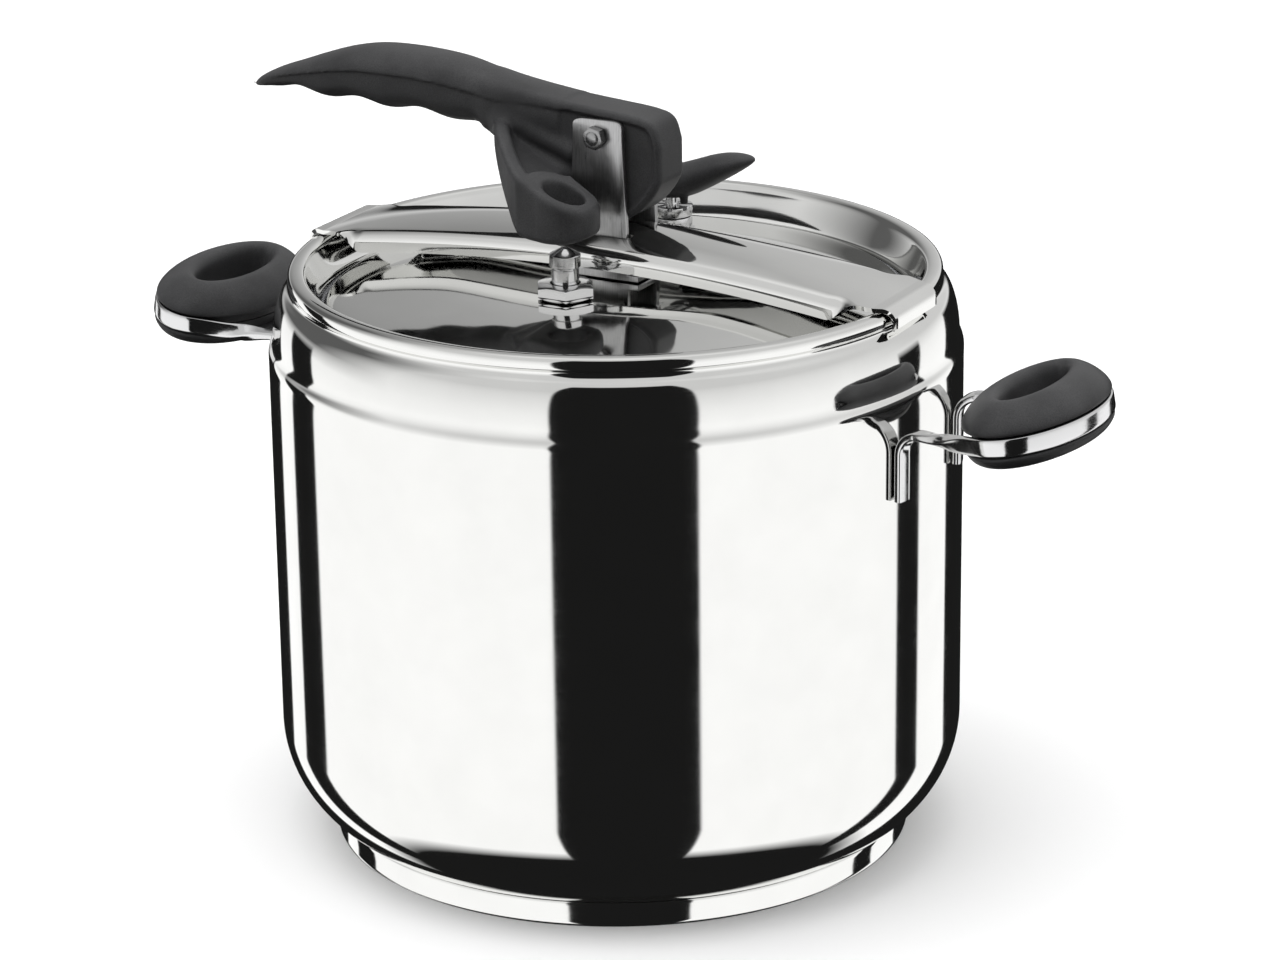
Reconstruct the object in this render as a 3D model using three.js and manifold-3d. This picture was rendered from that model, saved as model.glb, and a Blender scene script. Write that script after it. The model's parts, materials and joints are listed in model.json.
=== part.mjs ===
// Stovetop pressure cooker with an inner lid, a bridge across the rim and a camming lever.
// Millimetres, +Z up. +X runs along the handles, the bridge and the lever, whose grip points to -X.
// The safety valve is on the -Y side, the steam release valve on the +Y side.
// The origin is the middle of the base's underside.
import * as THREE from 'three';
import { mergeVertices } from 'three/addons/utils/BufferGeometryUtils.js';
import Module from 'manifold-3d';

const wasm = await Module();
wasm.setup();

// ---------------------------------------------------------------- driving dimensions
const GAP = 0.35; // clearance between pieces that touch
const ROUND = 40; // sides of a large turned piece
const SMALL = 14; // sides of a small turned piece
const HEX = 6;

const BODY_R = 110; // outer radius of the pot wall
const WALL = 1.5; // sheet of the pot
const RIM_TOP = 187.65;
const RIM_R = 100.3; // middle of the rolled rim
const CORNER_R = 36; // radius between the wall and the bottom
const CORNER_Z = 38.8;
const BASE_R = 93.2; // outer radius of the cap on the base
const BASE_H = 8.2;
const FLOOR_Z = 7.75; // underside of the pot's own bottom

const LID_TOP = 184.3; // flat middle of the lid
const LID_T = 1.4;
const LID_R = 98.4; // edge of the lid's flange
const LIP_Z = 176.2; // underside of the seat turned in from the rim

const PIVOT_Z = 230.2; // lever pivot, on the Y axis
const EAR_Y = 9.6; // middle of each ear plate
const EAR_T = 2;
const LEVER_HALF = 8.2; // half the width of the lever between the ears
const CAM_DROP = 7.5; // how far the cam lowers the lid over the lever's swing
const CAM_SWING = THREE.MathUtils.degToRad(95);
const HEEL_BACK = 20.6; // the cam's back is cut off flat here

const BRIDGE_HALF = 18;
const BRIDGE_T = 1.4;
const BRIDGE_TOP = 200.4; // crown of the bridge at the middle

const SAFETY_Y = -32;
const VENT_Y = 38;
const VENT_PIN_Z = 201;

const GRIP_X = 146; // middle of each side grip
const GRIP_Z = 156.5; // mid-height of the steel strip round the grip
const GRIP_A = 12.8; // half axes of the middle line of the grip's ring
const GRIP_B = 25.8;
const GRIP_TILT = 10; // degrees by which the outer end of each grip is raised
const STRIP_W = 5.7;
const STRIP_T = 2.6;
const LEG_ANGLE = THREE.MathUtils.degToRad(10.5);

// ---------------------------------------------------------------- materials
const finish = (color, roughness, metalness) =>
  new THREE.MeshStandardMaterial({ color, roughness, metalness });
const MIRROR_STEEL = ['#d9dadb', 0.08, 1];
const BRUSHED_STEEL = ['#b9babb', 0.35, 1];
const PLATED = ['#cfd0d2', 0.15, 1];
const ALUMINIUM = ['#a9abad', 0.45, 1];
const PHENOLIC = ['#2b2b2c', 0.55, 0];
const SILICONE = ['#8f9092', 0.6, 0];

// ---------------------------------------------------------------- solids
const vec = (x, y, z) => new THREE.Vector3(x, y, z);
const flat = (x, y) => new THREE.Vector2(x, y);

// A closed mesh as a solid: shared corners merged, slivers dropped, faces turned outwards.
function solid(geometry) {
  const bare = new THREE.BufferGeometry();
  bare.setAttribute('position', geometry.getAttribute('position'));
  bare.setIndex(geometry.getIndex());
  const merged = mergeVertices(bare, 1e-4);
  const points = merged.getAttribute('position');
  const index = merged.getIndex().array;
  const faces = [];
  let volume = 0;
  for (let i = 0; i < index.length; i += 3) {
    const [a, b, c] = [index[i], index[i + 1], index[i + 2]];
    if (a === b || b === c || a === c) continue;
    faces.push([a, b, c]);
    const pa = new THREE.Vector3().fromBufferAttribute(points, a);
    const pb = new THREE.Vector3().fromBufferAttribute(points, b);
    const pc = new THREE.Vector3().fromBufferAttribute(points, c);
    volume += pa.dot(pb.cross(pc));
  }
  const triangles = volume < 0 ? faces.map(([a, b, c]) => [a, c, b]) : faces;
  return new wasm.Manifold(new wasm.Mesh({
    numProp: 3,
    vertProperties: new Float32Array(points.array),
    triVerts: new Uint32Array(triangles.flat()),
  }));
}

// A solid back as a geometry for a three.js mesh.
function surface(body) {
  const mesh = body.getMesh();
  const geometry = new THREE.BufferGeometry();
  geometry.setAttribute('position', new THREE.BufferAttribute(new Float32Array(mesh.vertProperties), 3));
  geometry.setIndex(new THREE.BufferAttribute(new Uint32Array(mesh.triVerts), 1));
  geometry.computeVertexNormals();
  return geometry;
}

// A profile of [radius, height] pairs turned about the Z axis.
function turned(profile, sides = ROUND) {
  const points = profile.map(([r, z]) => flat(r, z));
  const geometry = new THREE.LatheGeometry(points, sides);
  return solid(geometry.rotateX(Math.PI / 2));
}

// A ring profile closes on itself.
const turnedRing = (profile, sides = ROUND) => turned([...profile, profile[0]], sides);

// A straight rod or prism from z0 to z1, standing at (x, y).
function rod(radius, z0, z1, sides = SMALL, x = 0, y = 0) {
  const geometry = new THREE.CylinderGeometry(radius, radius, z1 - z0, sides);
  geometry.rotateX(Math.PI / 2);
  geometry.translate(x, y, (z0 + z1) / 2);
  return solid(geometry);
}

// A hexagon by its width across the flats.
const hexagon = (across, z0, z1, x = 0, y = 0) => rod(across / Math.sqrt(3), z0, z1, HEX, x, y);

// The same along Y, from y0 to y1, about the line through (x, z).
function rodY(radius, y0, y1, sides, x, z) {
  const geometry = new THREE.CylinderGeometry(radius, radius, y1 - y0, sides);
  geometry.translate(x, (y0 + y1) / 2, z);
  return solid(geometry);
}

function block(x0, x1, y0, y1, z0, z1) {
  const geometry = new THREE.BoxGeometry(x1 - x0, y1 - y0, z1 - z0);
  geometry.translate((x0 + x1) / 2, (y0 + y1) / 2, (z0 + z1) / 2);
  return solid(geometry);
}

// An outline of [x, z] pairs standing in the XZ plane, from y0 to y1, with an optional bevel.
function extrudedY(outline, y0, y1, bevel = 0) {
  const shape = new THREE.Shape(outline.map(([x, z]) => flat(x, z)));
  const geometry = new THREE.ExtrudeGeometry(shape, {
    depth: y1 - y0 - 2 * bevel,
    bevelEnabled: bevel > 0,
    bevelThickness: bevel,
    bevelSize: bevel,
    bevelOffset: -bevel,
    bevelSegments: 2,
  });
  geometry.rotateX(Math.PI / 2);
  geometry.translate(0, y1 - bevel, 0);
  return solid(geometry);
}

// An outline of [x, y] pairs lying in the XY plane, from z0 to z1.
function extrudedZ(outline, z0, z1) {
  const shape = new THREE.Shape(outline.map(([x, y]) => flat(x, y)));
  const geometry = new THREE.ExtrudeGeometry(shape, { depth: z1 - z0, bevelEnabled: false });
  geometry.translate(0, 0, z0);
  return solid(geometry);
}

// A skin through rings of points, closed at both ends by a fan, or joined end to end.
function lofted(rings, joined = false) {
  const count = rings[0].length;
  const points = rings.flat();
  const faces = [];
  const spans = joined ? rings.length : rings.length - 1;
  for (let i = 0; i < spans; i += 1) {
    const here = i * count;
    const next = ((i + 1) % rings.length) * count;
    for (let j = 0; j < count; j += 1) {
      const k = (j + 1) % count;
      faces.push(here + j, next + j, next + k, here + j, next + k, here + k);
    }
  }
  if (!joined) {
    for (const [start, turn] of [[0, 1], [(rings.length - 1) * count, -1]]) {
      const middle = points.length;
      const centre = vec(0, 0, 0);
      for (let j = 0; j < count; j += 1) centre.add(points[start + j]);
      points.push(centre.divideScalar(count));
      for (let j = 0; j < count; j += 1) {
        const pair = [start + j, start + ((j + 1) % count)];
        if (turn < 0) pair.reverse();
        faces.push(middle, ...pair);
      }
    }
  }
  const geometry = new THREE.BufferGeometry().setFromPoints(points);
  geometry.setIndex(faces);
  return solid(geometry);
}

// A sheet of even thickness about a grid of middle points.
function sheet(grid, thickness) {
  const rows = grid.length;
  const columns = grid[0].length;
  const at = (i, j) => grid[Math.min(Math.max(i, 0), rows - 1)][Math.min(Math.max(j, 0), columns - 1)];
  const normal = (i, j) => {
    const along = at(i + 1, j).clone().sub(at(i - 1, j));
    const across = at(i, j + 1).clone().sub(at(i, j - 1));
    return along.cross(across).normalize();
  };
  const side = (sign) => grid.map((row, i) =>
    row.map((point, j) => point.clone().addScaledVector(normal(i, j), (sign * thickness) / 2)));
  const upper = side(1);
  const lower = side(-1);
  const rings = upper.map((row, i) => [...row, ...lower[i].slice().reverse()]);
  const count = 2 * columns;
  const faces = [];
  for (let i = 0; i < rows - 1; i += 1) {
    for (let j = 0; j < count; j += 1) {
      const k = (j + 1) % count;
      const here = i * count;
      const next = here + count;
      faces.push(here + j, next + j, next + k, here + j, next + k, here + k);
    }
  }
  for (let j = 0; j < columns - 1; j += 1) {
    const mirror = count - 1 - j;
    const last = (rows - 1) * count;
    faces.push(j, j + 1, mirror - 1, j, mirror - 1, mirror);
    faces.push(last + j, last + mirror - 1, last + j + 1, last + j, last + mirror, last + mirror - 1);
  }
  const geometry = new THREE.BufferGeometry().setFromPoints(rings.flat());
  geometry.setIndex(faces);
  return solid(geometry);
}

// A helix of round wire standing on the line through (x, y).
function coil(x, y, z0, z1, radius, wire, turns) {
  class Helix extends THREE.Curve {
    getPoint(t, target = new THREE.Vector3()) {
      const angle = 2 * Math.PI * turns * t;
      const z = THREE.MathUtils.lerp(z0 + wire, z1 - wire, t);
      return target.set(x + radius * Math.cos(angle), y + radius * Math.sin(angle), z);
    }
  }
  const section = new THREE.Shape().absarc(0, 0, wire, 0, 2 * Math.PI);
  const geometry = new THREE.ExtrudeGeometry(section, {
    steps: 8 * turns,
    curveSegments: 3,
    extrudePath: new Helix(),
  });
  return solid(geometry);
}

// ---------------------------------------------------------------- pot
function cornerArc(radius, steps) {
  const start = Math.acos((BASE_R + 0.6 - BODY_R + CORNER_R) / CORNER_R);
  return Array.from({ length: steps + 1 }, (_, i) => {
    const angle = -start * (1 - i / steps);
    return [BODY_R - CORNER_R + radius * Math.cos(angle), CORNER_Z + radius * Math.sin(angle)];
  });
}

// One sheet from the bottom up the wall, in over the shoulder, round the rim and down to the lid seat.
function potShell() {
  const outside = [
    [0, FLOOR_Z], [BASE_R - 1.9, FLOOR_Z], [BASE_R - 1.5, BASE_H + 0.4],
    ...cornerArc(CORNER_R, 5),
    [BODY_R, 158.5], [109.9, 162.2], [108.8, 165],
    [108.5, 169], [107.4, 175.2], [105.6, 179.9], [103.3, 181.6], [102.7, 182.8],
    [103.1, 184.4], [102.4, 186.6], [RIM_R, RIM_TOP],
    [98.2, 186.8], [97.1, 184.9], [92.9, 177.6], [92.9, LIP_Z],
  ];
  const inside = [
    [97.8, LIP_Z], [97.8, LIP_Z + WALL], [94.8, LIP_Z + WALL],
    [98.7, 184.6], [100.4, 185.9], [101.4, 184.2], [101.2, 181.9],
    [104.4, 178.9], [106, 174.4], [107.1, 168.4], [107.3, 164.6],
    [108.3, 162], [BODY_R - WALL, 158],
    ...cornerArc(CORNER_R - WALL, 4).reverse(),
    [BASE_R - 1.9, FLOOR_Z + WALL], [0, FLOOR_Z + WALL],
  ];
  return turned([...outside, ...inside]);
}

function baseCore() {
  const r = BASE_R - 1.35;
  return turned([[0, 1.3], [r - 0.8, 1.3], [r, 2.1], [r, FLOOR_Z - GAP], [0, FLOOR_Z - GAP]]);
}

function baseCap() {
  const outside = [[0, 0], [BASE_R - 1.2, 0], [BASE_R, 1.2], [BASE_R, BASE_H]];
  const inside = [[BASE_R - 0.9, BASE_H], [BASE_R - 0.9, 1.6], [BASE_R - 1.7, 0.9], [0, 0.9]];
  return turned([...outside, ...inside]);
}

// ---------------------------------------------------------------- side handles (right one, at +X)
// The steel strip climbs the wall, bends outwards, turns on edge and runs round the grip.
function bracket() {
  const legR = BODY_R + GAP + 0.1 + STRIP_T / 2;
  const out = vec(Math.cos(LEG_ANGLE), -Math.sin(LEG_ANGLE), 0);
  const bend = 6;
  const shoulder = GRIP_Z - 3.6;
  const half = [];
  for (const z of [131, 140, shoulder - bend]) half.push(out.clone().multiplyScalar(legR).setZ(z));
  for (const turn of [0.25, 0.5, 0.75, 1]) {
    const angle = (turn * Math.PI) / 2;
    const reach = legR + bend * (1 - Math.cos(angle));
    half.push(out.clone().multiplyScalar(reach).setZ(shoulder - bend + bend * Math.sin(angle)));
  }
  half.push(vec(124, -23.3, shoulder), vec(132, -26.2, GRIP_Z - 2.6));
  const tilt = THREE.MathUtils.degToRad(GRIP_TILT);
  const joins = THREE.MathUtils.degToRad(109);
  for (let i = 0; i <= 14; i += 1) {
    const angle = -joins * (1 - i / 14);
    const reach = (GRIP_A + 6.5) * Math.cos(angle);
    const across = (GRIP_B + 6.5) * Math.sin(angle);
    half.push(vec(GRIP_X + reach * Math.cos(tilt), across, GRIP_Z + reach * Math.sin(tilt)));
  }
  const mirrored = half.slice(0, -1).reverse().map((p) => vec(p.x, -p.y, p.z));
  const path = [...half, ...mirrored];
  const rings = path.map((point, i) => {
    const before = path[Math.max(i - 1, 0)];
    const after = path[Math.min(i + 1, path.length - 1)];
    const along = after.clone().sub(before).normalize();
    const fromLeg = Math.min(i, path.length - 1 - i);
    const turn = THREE.MathUtils.smoothstep(fromLeg, 6, 9);
    const lean = i < path.length / 2 ? -LEG_ANGLE : LEG_ANGLE;
    const upright = vec(-Math.sin(tilt), 0, Math.cos(tilt));
    const wide = vec(Math.sin(lean), -Math.cos(lean), 0).lerp(upright, turn);
    wide.addScaledVector(along, -wide.dot(along)).normalize();
    const thick = along.clone().cross(wide);
    const section = [[-1, -0.55], [-0.8, -1], [0.8, -1], [1, -0.55], [1, 0.55], [0.8, 1], [-0.8, 1], [-1, 0.55]];
    return section.map(([w, t]) => point.clone()
      .addScaledVector(wide, (w * STRIP_W) / 2).addScaledVector(thick, (t * STRIP_T) / 2));
  });
  return lofted(rings);
}

// Half of the ring-shaped grip: a section of [outward, height] pairs run round the oval.
function gripHalf(section) {
  const steps = 24;
  const rings = Array.from({ length: steps }, (_, i) => {
    const angle = (2 * Math.PI * i) / steps;
    return section.map(([u, z]) =>
      vec(GRIP_X + (GRIP_A + u) * Math.cos(angle), (GRIP_B + u) * Math.sin(angle), GRIP_Z + z));
  });
  return lofted(rings, true);
}

// A grip is shaped level and then leans back, its outer end up.
const leaned = (body) => body.translate([-GRIP_X, 0, -GRIP_Z]).rotate([0, -GRIP_TILT, 0]).translate([GRIP_X, 0, GRIP_Z]);

const SHELF = 6.5 - STRIP_T / 2 - GAP; // where the halves stop short of the strip
const LEDGE = STRIP_W / 2 + GAP; // where they reach out over it
const SCREW_X = [GRIP_X - GRIP_A, GRIP_X + GRIP_A];

function gripUpper() {
  const body = gripHalf([
    [-6.6, 0.2], [SHELF, 0.2], [SHELF, LEDGE], [7.2, LEDGE], [7.4, 4.2], [5.6, 7],
    [2.4, 9.9], [-1.5, 11.7], [-4.2, 11.7], [-5.9, 10.5], [-6.6, 8.2],
  ]);
  return leaned(SCREW_X.reduce((part, x) => part.subtract(rod(1.7, GRIP_Z - 1, GRIP_Z + 6, 8, x)), body));
}

function gripLower() {
  const body = gripHalf([
    [-6.6, -0.2], [-6.6, -4.4], [-5.4, -6.2], [-2.6, -7.2], [2.4, -7.2], [5.4, -5.9], [7.2, -LEDGE - 0.6],
    [7.2, -LEDGE], [SHELF, -LEDGE], [SHELF, -0.2],
  ]);
  return leaned(SCREW_X.reduce((part, x) => part
    .subtract(rod(1.9, GRIP_Z - 8, GRIP_Z + 1, 8, x))
    .subtract(rod(3.4, GRIP_Z - 8, GRIP_Z - 5.2, 12, x)), body));
}

function gripScrew(x) {
  const head = rod(2.9, GRIP_Z - 7.6, GRIP_Z - 5.5, 12, x);
  const shank = rod(1.3, GRIP_Z - 6, GRIP_Z + 5.4, 8, x);
  return leaned(head.add(shank).subtract(rod(1.1, GRIP_Z - 8, GRIP_Z - 6.5, HEX, x)));
}

// ---------------------------------------------------------------- bridge
// An arched strip with down-turned sides. Its ends hook over the rolled rim.
function bridge() {
  const span = 98;
  const crownMid = BRIDGE_TOP - BRIDGE_T / 2;
  const rimMid = RIM_TOP + GAP + BRIDGE_T / 2;
  const edgeMid = 196.3;
  const hookR = rimMid - 184.9;
  const halfPath = [0, 16, 32, 48, 62, 74, 83, 90, 95.5, 98].map((x) => ({ x, z: null }));
  for (const angle of [0.12, 0.6, 1.1, Math.PI / 2]) {
    halfPath.push({ x: RIM_R + hookR * Math.sin(angle), z: 184.9 + hookR * Math.cos(angle) });
  }
  halfPath.push({ x: RIM_R + hookR, z: 182.8 });
  const stations = [...halfPath.slice(1).reverse().map(({ x, z }) => ({ x: -x, z })), ...halfPath];
  const across = [-14.5, -8, 0, 8, 14.5];
  const grid = stations.map(({ x, z }) => {
    const share = Math.min(Math.abs(x) / span, 1) ** 2;
    const centre = z ?? THREE.MathUtils.lerp(crownMid, rimMid, share);
    const edge = z ?? THREE.MathUtils.lerp(edgeMid, rimMid, share);
    const fold = z === null ? THREE.MathUtils.clamp((95.5 - Math.abs(x)) / 12, 0, 1) : 0;
    const bend = 3.5 * fold;
    const tuck = fold === 0 ? 0.5 : 0.02 * (1 - fold);
    const narrow = 1 - 0.2 * Math.max((Math.abs(x) - 90) / 14.1, 0) ** 2;
    const flank = [
      [BRIDGE_HALF - 1.05, edge - 0.3 * bend],
      [BRIDGE_HALF - tuck, edge - bend],
      [BRIDGE_HALF, edge - 6.4 * fold],
    ];
    return [
      ...flank.slice().reverse().map(([y, low]) => vec(x, -y * narrow, low)),
      ...across.map((y) => vec(x, y * narrow, edge + (centre - edge) * (1 - (y / 14.5) ** 2))),
      ...flank.map(([y, low]) => vec(x, y * narrow, low)),
    ];
  });
  const slot = (y) => block(-11.4, 11.4, y - EAR_T / 2 - 0.6, y + EAR_T / 2 + 0.6, 190, 205);
  return sheet(grid, BRIDGE_T).subtract(slot(-EAR_Y)).subtract(slot(EAR_Y));
}

// ---------------------------------------------------------------- lid
function lidDisc() {
  const under = LID_TOP - LID_T;
  const disc = turned([
    [0, LID_TOP], [44, LID_TOP], [60, 183.1], [76, 180.8], [86, 178.8], [90.6, 177.6], [91.5, 176.6],
    [91.6, 172.6], [92.2, 171.7], [LID_R, 171.7], [LID_R, 170.3], [91.6, 170.3], [90.3, 171.8],
    [90.1, 175.7], [85.6, 177.4], [75.6, 179.4], [59.6, 181.7], [43.8, under], [0, under],
  ]);
  return disc
    .subtract(rod(3.6, under - 2, LID_TOP + 2))
    .subtract(rod(6.7, under - 2, LID_TOP + 2, SMALL, 0, SAFETY_Y))
    .subtract(rod(5.4, under - 2, LID_TOP + 2, SMALL, 0, VENT_Y));
}

function lidGasket() {
  return turnedRing([
    [92.4, 172.1], [97.4, 172.1], [98.2, 173], [98.2, 175], [97.2, LIP_Z - GAP], [93.4, LIP_Z - GAP], [92.4, 175],
  ]);
}

// ---------------------------------------------------------------- yoke and pivot
function earOutline() {
  const outline = new THREE.Shape();
  outline.moveTo(-10.4, LID_TOP + 0.4);
  outline.lineTo(10.4, LID_TOP + 0.4);
  outline.lineTo(9.8, 203);
  outline.lineTo(8.7, 231);
  outline.absarc(3.9, PIVOT_Z + 0.6, 4.8, 0, Math.PI / 2, false);
  outline.absarc(-3.9, PIVOT_Z + 0.6, 4.8, Math.PI / 2, Math.PI, false);
  return outline.getPoints(4).map((p) => [p.x, p.y]);
}

function leverYoke() {
  const ear = (y) => extrudedY(earOutline(), y - EAR_T / 2, y + EAR_T / 2);
  const base = block(-14, 14, -EAR_Y - EAR_T / 2, EAR_Y + EAR_T / 2, LID_TOP + 0.4, LID_TOP + 2.4);
  return base.add(ear(-EAR_Y)).add(ear(EAR_Y))
    .subtract(rodY(2.9, -15, 15, SMALL, 0, PIVOT_Z))
    .subtract(rod(3.6, LID_TOP - 1, LID_TOP + 4));
}

function yokeStud() {
  return hexagon(10, LID_TOP + 2.4 + GAP, LID_TOP + 6.4).add(rod(3.1, 172.5, LID_TOP + 4));
}

const washer = (inner, outer, z0, z1, y = 0) => rod(outer, z0, z1, SMALL, 0, y).subtract(rod(inner, z0 - 1, z1 + 1, SMALL, 0, y));
const nut = (across, bore, z0, z1, y = 0) => hexagon(across, z0, z1, 0, y).subtract(rod(bore, z0 - 1, z1 + 1, SMALL, 0, y));

const UNDER_LID = LID_TOP - LID_T - GAP;

function pivotBolt() {
  const head = rodY(4.3, -14.4, -EAR_Y - EAR_T / 2 - GAP, HEX, 0, PIVOT_Z);
  return head.add(rodY(2.5, -12, 15.6, SMALL, 0, PIVOT_Z));
}

function pivotNut() {
  const y0 = EAR_Y + EAR_T / 2 + GAP;
  return rodY(4.6, y0, y0 + 3.6, HEX, 0, PIVOT_Z).subtract(rodY(2.9, y0 - 1, y0 + 5, SMALL, 0, PIVOT_Z));
}

// ---------------------------------------------------------------- lever
// The heel is a cam: its reach below the pivot shrinks evenly as the lever swings.
function camPoints(steps) {
  const reach0 = PIVOT_Z - BRIDGE_TOP - GAP;
  const slope = -CAM_DROP / CAM_SWING;
  return Array.from({ length: steps + 1 }, (_, i) => {
    const angle = (Math.PI / 2) * (1 - i / steps);
    const reach = reach0 + slope * angle;
    return [
      Math.min(reach * Math.sin(angle) + slope * Math.cos(angle), HEEL_BACK),
      PIVOT_Z - reach * Math.cos(angle) + slope * Math.sin(angle),
    ];
  });
}

function leverHeel() {
  const outline = [
    [-40, 241.2], [-26, 240.6], [-12, 239], [2, 237.9], [11, 237.4], [15.6, 236.2], [18.6, 233.6], [20.1, 230.4],
    ...camPoints(9), [-11, 201.6], [-20, 209], [-29, 218], [-38, 227],
  ];
  return extrudedY(outline, -LEVER_HALF, LEVER_HALF, 2);
}

// The grip: sections across the lever from the neck to the tip, scalloped for the fingers below.
function leverGrip() {
  const stations = [
    // x, middle z, half width, half height
    [-24, 233, 7.6, 6.6], [-34, 234.6, 8.9, 8.2], [-45, 236.4, 10.8, 9.2], [-56, 238.3, 12, 9.5],
    [-70, 239.3, 12.5, 9.6], [-84, 239.5, 12.5, 9.2], [-95, 238.8, 12, 8], [-105, 237.5, 11, 6.2],
    [-114, 236.2, 9.8, 3.8], [-122, 234.5, 8, 2.8], [-128, 232.6, 5.4, 1.9], [-131.3, 231.2, 2.4, 0.9],
  ];
  const pitch = 23;
  const middle = new THREE.CatmullRomCurve3(stations.map(([x, z]) => vec(x, 0, z)));
  const size = new THREE.CatmullRomCurve3(stations.map(([, , w, h]) => vec(w, h, 0)));
  const steps = 22;
  const rings = Array.from({ length: steps + 1 }, (_, i) => {
    const centre = middle.getPoint(i / steps);
    const half = size.getPoint(i / steps);
    const held = THREE.MathUtils.smoothstep(-centre.x, 34, 50) * THREE.MathUtils.smoothstep(centre.x, -126, -108);
    const scallop = 0.9 * held * Math.cos((2 * Math.PI * (centre.x + 101.7)) / pitch);
    return Array.from({ length: 16 }, (_, j) => {
      const angle = (2 * Math.PI * j) / 16;
      const down = Math.sin(angle) < 0 ? half.y + scallop : half.y;
      return vec(centre.x, half.x * Math.cos(angle), centre.z + down * Math.sin(angle));
    });
  });
  return lofted(rings);
}

// The arm comes off the front of the lever and ends in a ring over the safety valve.
function leverArm() {
  const sideView = [
    [-38, 231.5], [-31, 231.3], [-24, 230.2], [-14, 225.4], [0, 217.8], [11.2, 211.8],
    [11.2, 206.8], [8.6, 204.2], [0, 203.5], [-11, 203.5], [-14.5, 205], [-19.6, 212], [-27, 219.5], [-33, 224.8],
    [-38, 227],
  ];
  const ringR = 11.2;
  const topView = [[-38, -7], [-35.5, -13], [-31.5, -20], [-25.5, -28], [-19, -35], [-12, -40]];
  for (let i = 0; i <= 9; i += 1) {
    const angle = THREE.MathUtils.degToRad(-115 + i * 19);
    topView.push([ringR * Math.cos(angle), SAFETY_Y + ringR * Math.sin(angle)]);
  }
  topView.push([-4, -19.6], [-10, -15.6], [-12.2, -11], [-12.2, -7]);
  return extrudedY(sideView, -45, -LEVER_HALF + 1)
    .intersect(extrudedZ(topView, 195, 240))
    .subtract(rod(6.4, 195, 240, SMALL, 0, SAFETY_Y));
}

function leverHandle() {
  return leverHeel().add(leverGrip()).add(leverArm())
    .subtract(rodY(4.6, -15, 15, SMALL, 0, PIVOT_Z));
}

function leverBush() {
  return rodY(4.2, -LEVER_HALF, LEVER_HALF, SMALL, 0, PIVOT_Z).subtract(rodY(2.9, -15, 15, SMALL, 0, PIVOT_Z));
}

// ---------------------------------------------------------------- safety valve
function safetyBody() {
  return hexagon(15, LID_TOP + GAP, 188.9, 0, SAFETY_Y)
    .add(rod(6.3, 176, LID_TOP + 1, SMALL, 0, SAFETY_Y))
    .subtract(rod(4.8, 170, 190, SMALL, 0, SAFETY_Y));
}

function safetyPin() {
  const pin = turned([
    [0, 161.6], [5.6, 161.6], [6.2, 162.2], [6.2, 163.6], [4.3, 163.8], [4.3, 193.8], [4.9, 194.2],
    [4.9, 198.4], [3.2, 200.1], [0, 200.1],
  ], SMALL);
  return pin.translate([0, SAFETY_Y, 0]).subtract(block(-6, 6, SAFETY_Y - 0.6, SAFETY_Y + 0.6, 199.2, 202));
}

// ---------------------------------------------------------------- steam release valve
function ventBody() {
  return hexagon(15, LID_TOP + GAP, 188.6, 0, VENT_Y)
    .add(rod(6.6, 188, 192.9, SMALL, 0, VENT_Y))
    .add(rod(5, 174.5, 188.4, SMALL, 0, VENT_Y))
    .subtract(rod(4.7, 186.4, 195, SMALL, 0, VENT_Y))
    .subtract(rod(1.6, 170, 190, 8, 0, VENT_Y));
}

// The collar closes the body and carries a crown of teeth that the thumb lever's foot rests on.
function ventCollar() {
  let collar = rod(6.75, 192.9 + GAP, 196.6, 24, 0, VENT_Y).subtract(rod(2.4, 190, 200, SMALL, 0, VENT_Y));
  const teeth = 8;
  for (let i = 0; i < teeth / 2; i += 1) {
    const notch = new THREE.BoxGeometry(16, 1.5, 2);
    notch.rotateZ((i * Math.PI) / (teeth / 2) + Math.PI / 8);
    notch.translate(0, VENT_Y, 196.7);
    collar = collar.subtract(solid(notch));
  }
  return collar;
}

function ventStem() {
  return turned([
    [0, 186.8], [3.2, 186.8], [4, 187.4], [4, 188], [1.9, 188.2], [1.9, 203.2], [1.2, 203.8], [0, 203.8],
  ], SMALL).translate([0, VENT_Y, 0]).subtract(rodY(1.35, VENT_Y - 5, VENT_Y + 5, 12, 0, VENT_PIN_Z));
}

// A leaf-shaped thumb lever, with a foot under it and a pocket for the top of the stem.
function ventLever() {
  const stations = [
    // x, middle z, half width, half height
    [-7, 202.6, 3.4, 2.2], [-5, 203, 5.6, 3.8], [-1, 203.9, 6.8, 5.2], [4, 205, 7.4, 5.7],
    [9, 206.8, 7.6, 5.5], [14, 209.2, 7.4, 4.8], [19, 211.4, 6.8, 3.8], [24, 213.2, 5.4, 2.5], [28, 214.2, 3.2, 1.3],
    [29.8, 214.3, 1.2, 0.5],
  ];
  const rings = stations.map(([x, z, w, h]) => Array.from({ length: 14 }, (_, j) => {
    const angle = (2 * Math.PI * j) / 14;
    return vec(x, VENT_Y + w * Math.cos(angle), z + h * Math.sin(angle));
  }));
  return lofted(rings)
    .add(rod(1.3, 197.1, 202, 8, 4.5, VENT_Y))
    .subtract(block(-3.3, 3.1, VENT_Y - 2.3, VENT_Y + 2.3, 190, 205.4))
    .subtract(rodY(1.35, VENT_Y - 9, VENT_Y + 9, 12, 0, VENT_PIN_Z));
}

// ---------------------------------------------------------------- assembly
const cooker = new THREE.Group();

function place(name, body, look) {
  const mesh = new THREE.Mesh(surface(body), finish(...look));
  mesh.name = name;
  cooker.add(mesh);
}

place('pot_shell', potShell(), MIRROR_STEEL);
place('base_core', baseCore(), ALUMINIUM);
place('base_cap', baseCap(), MIRROR_STEEL);

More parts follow.
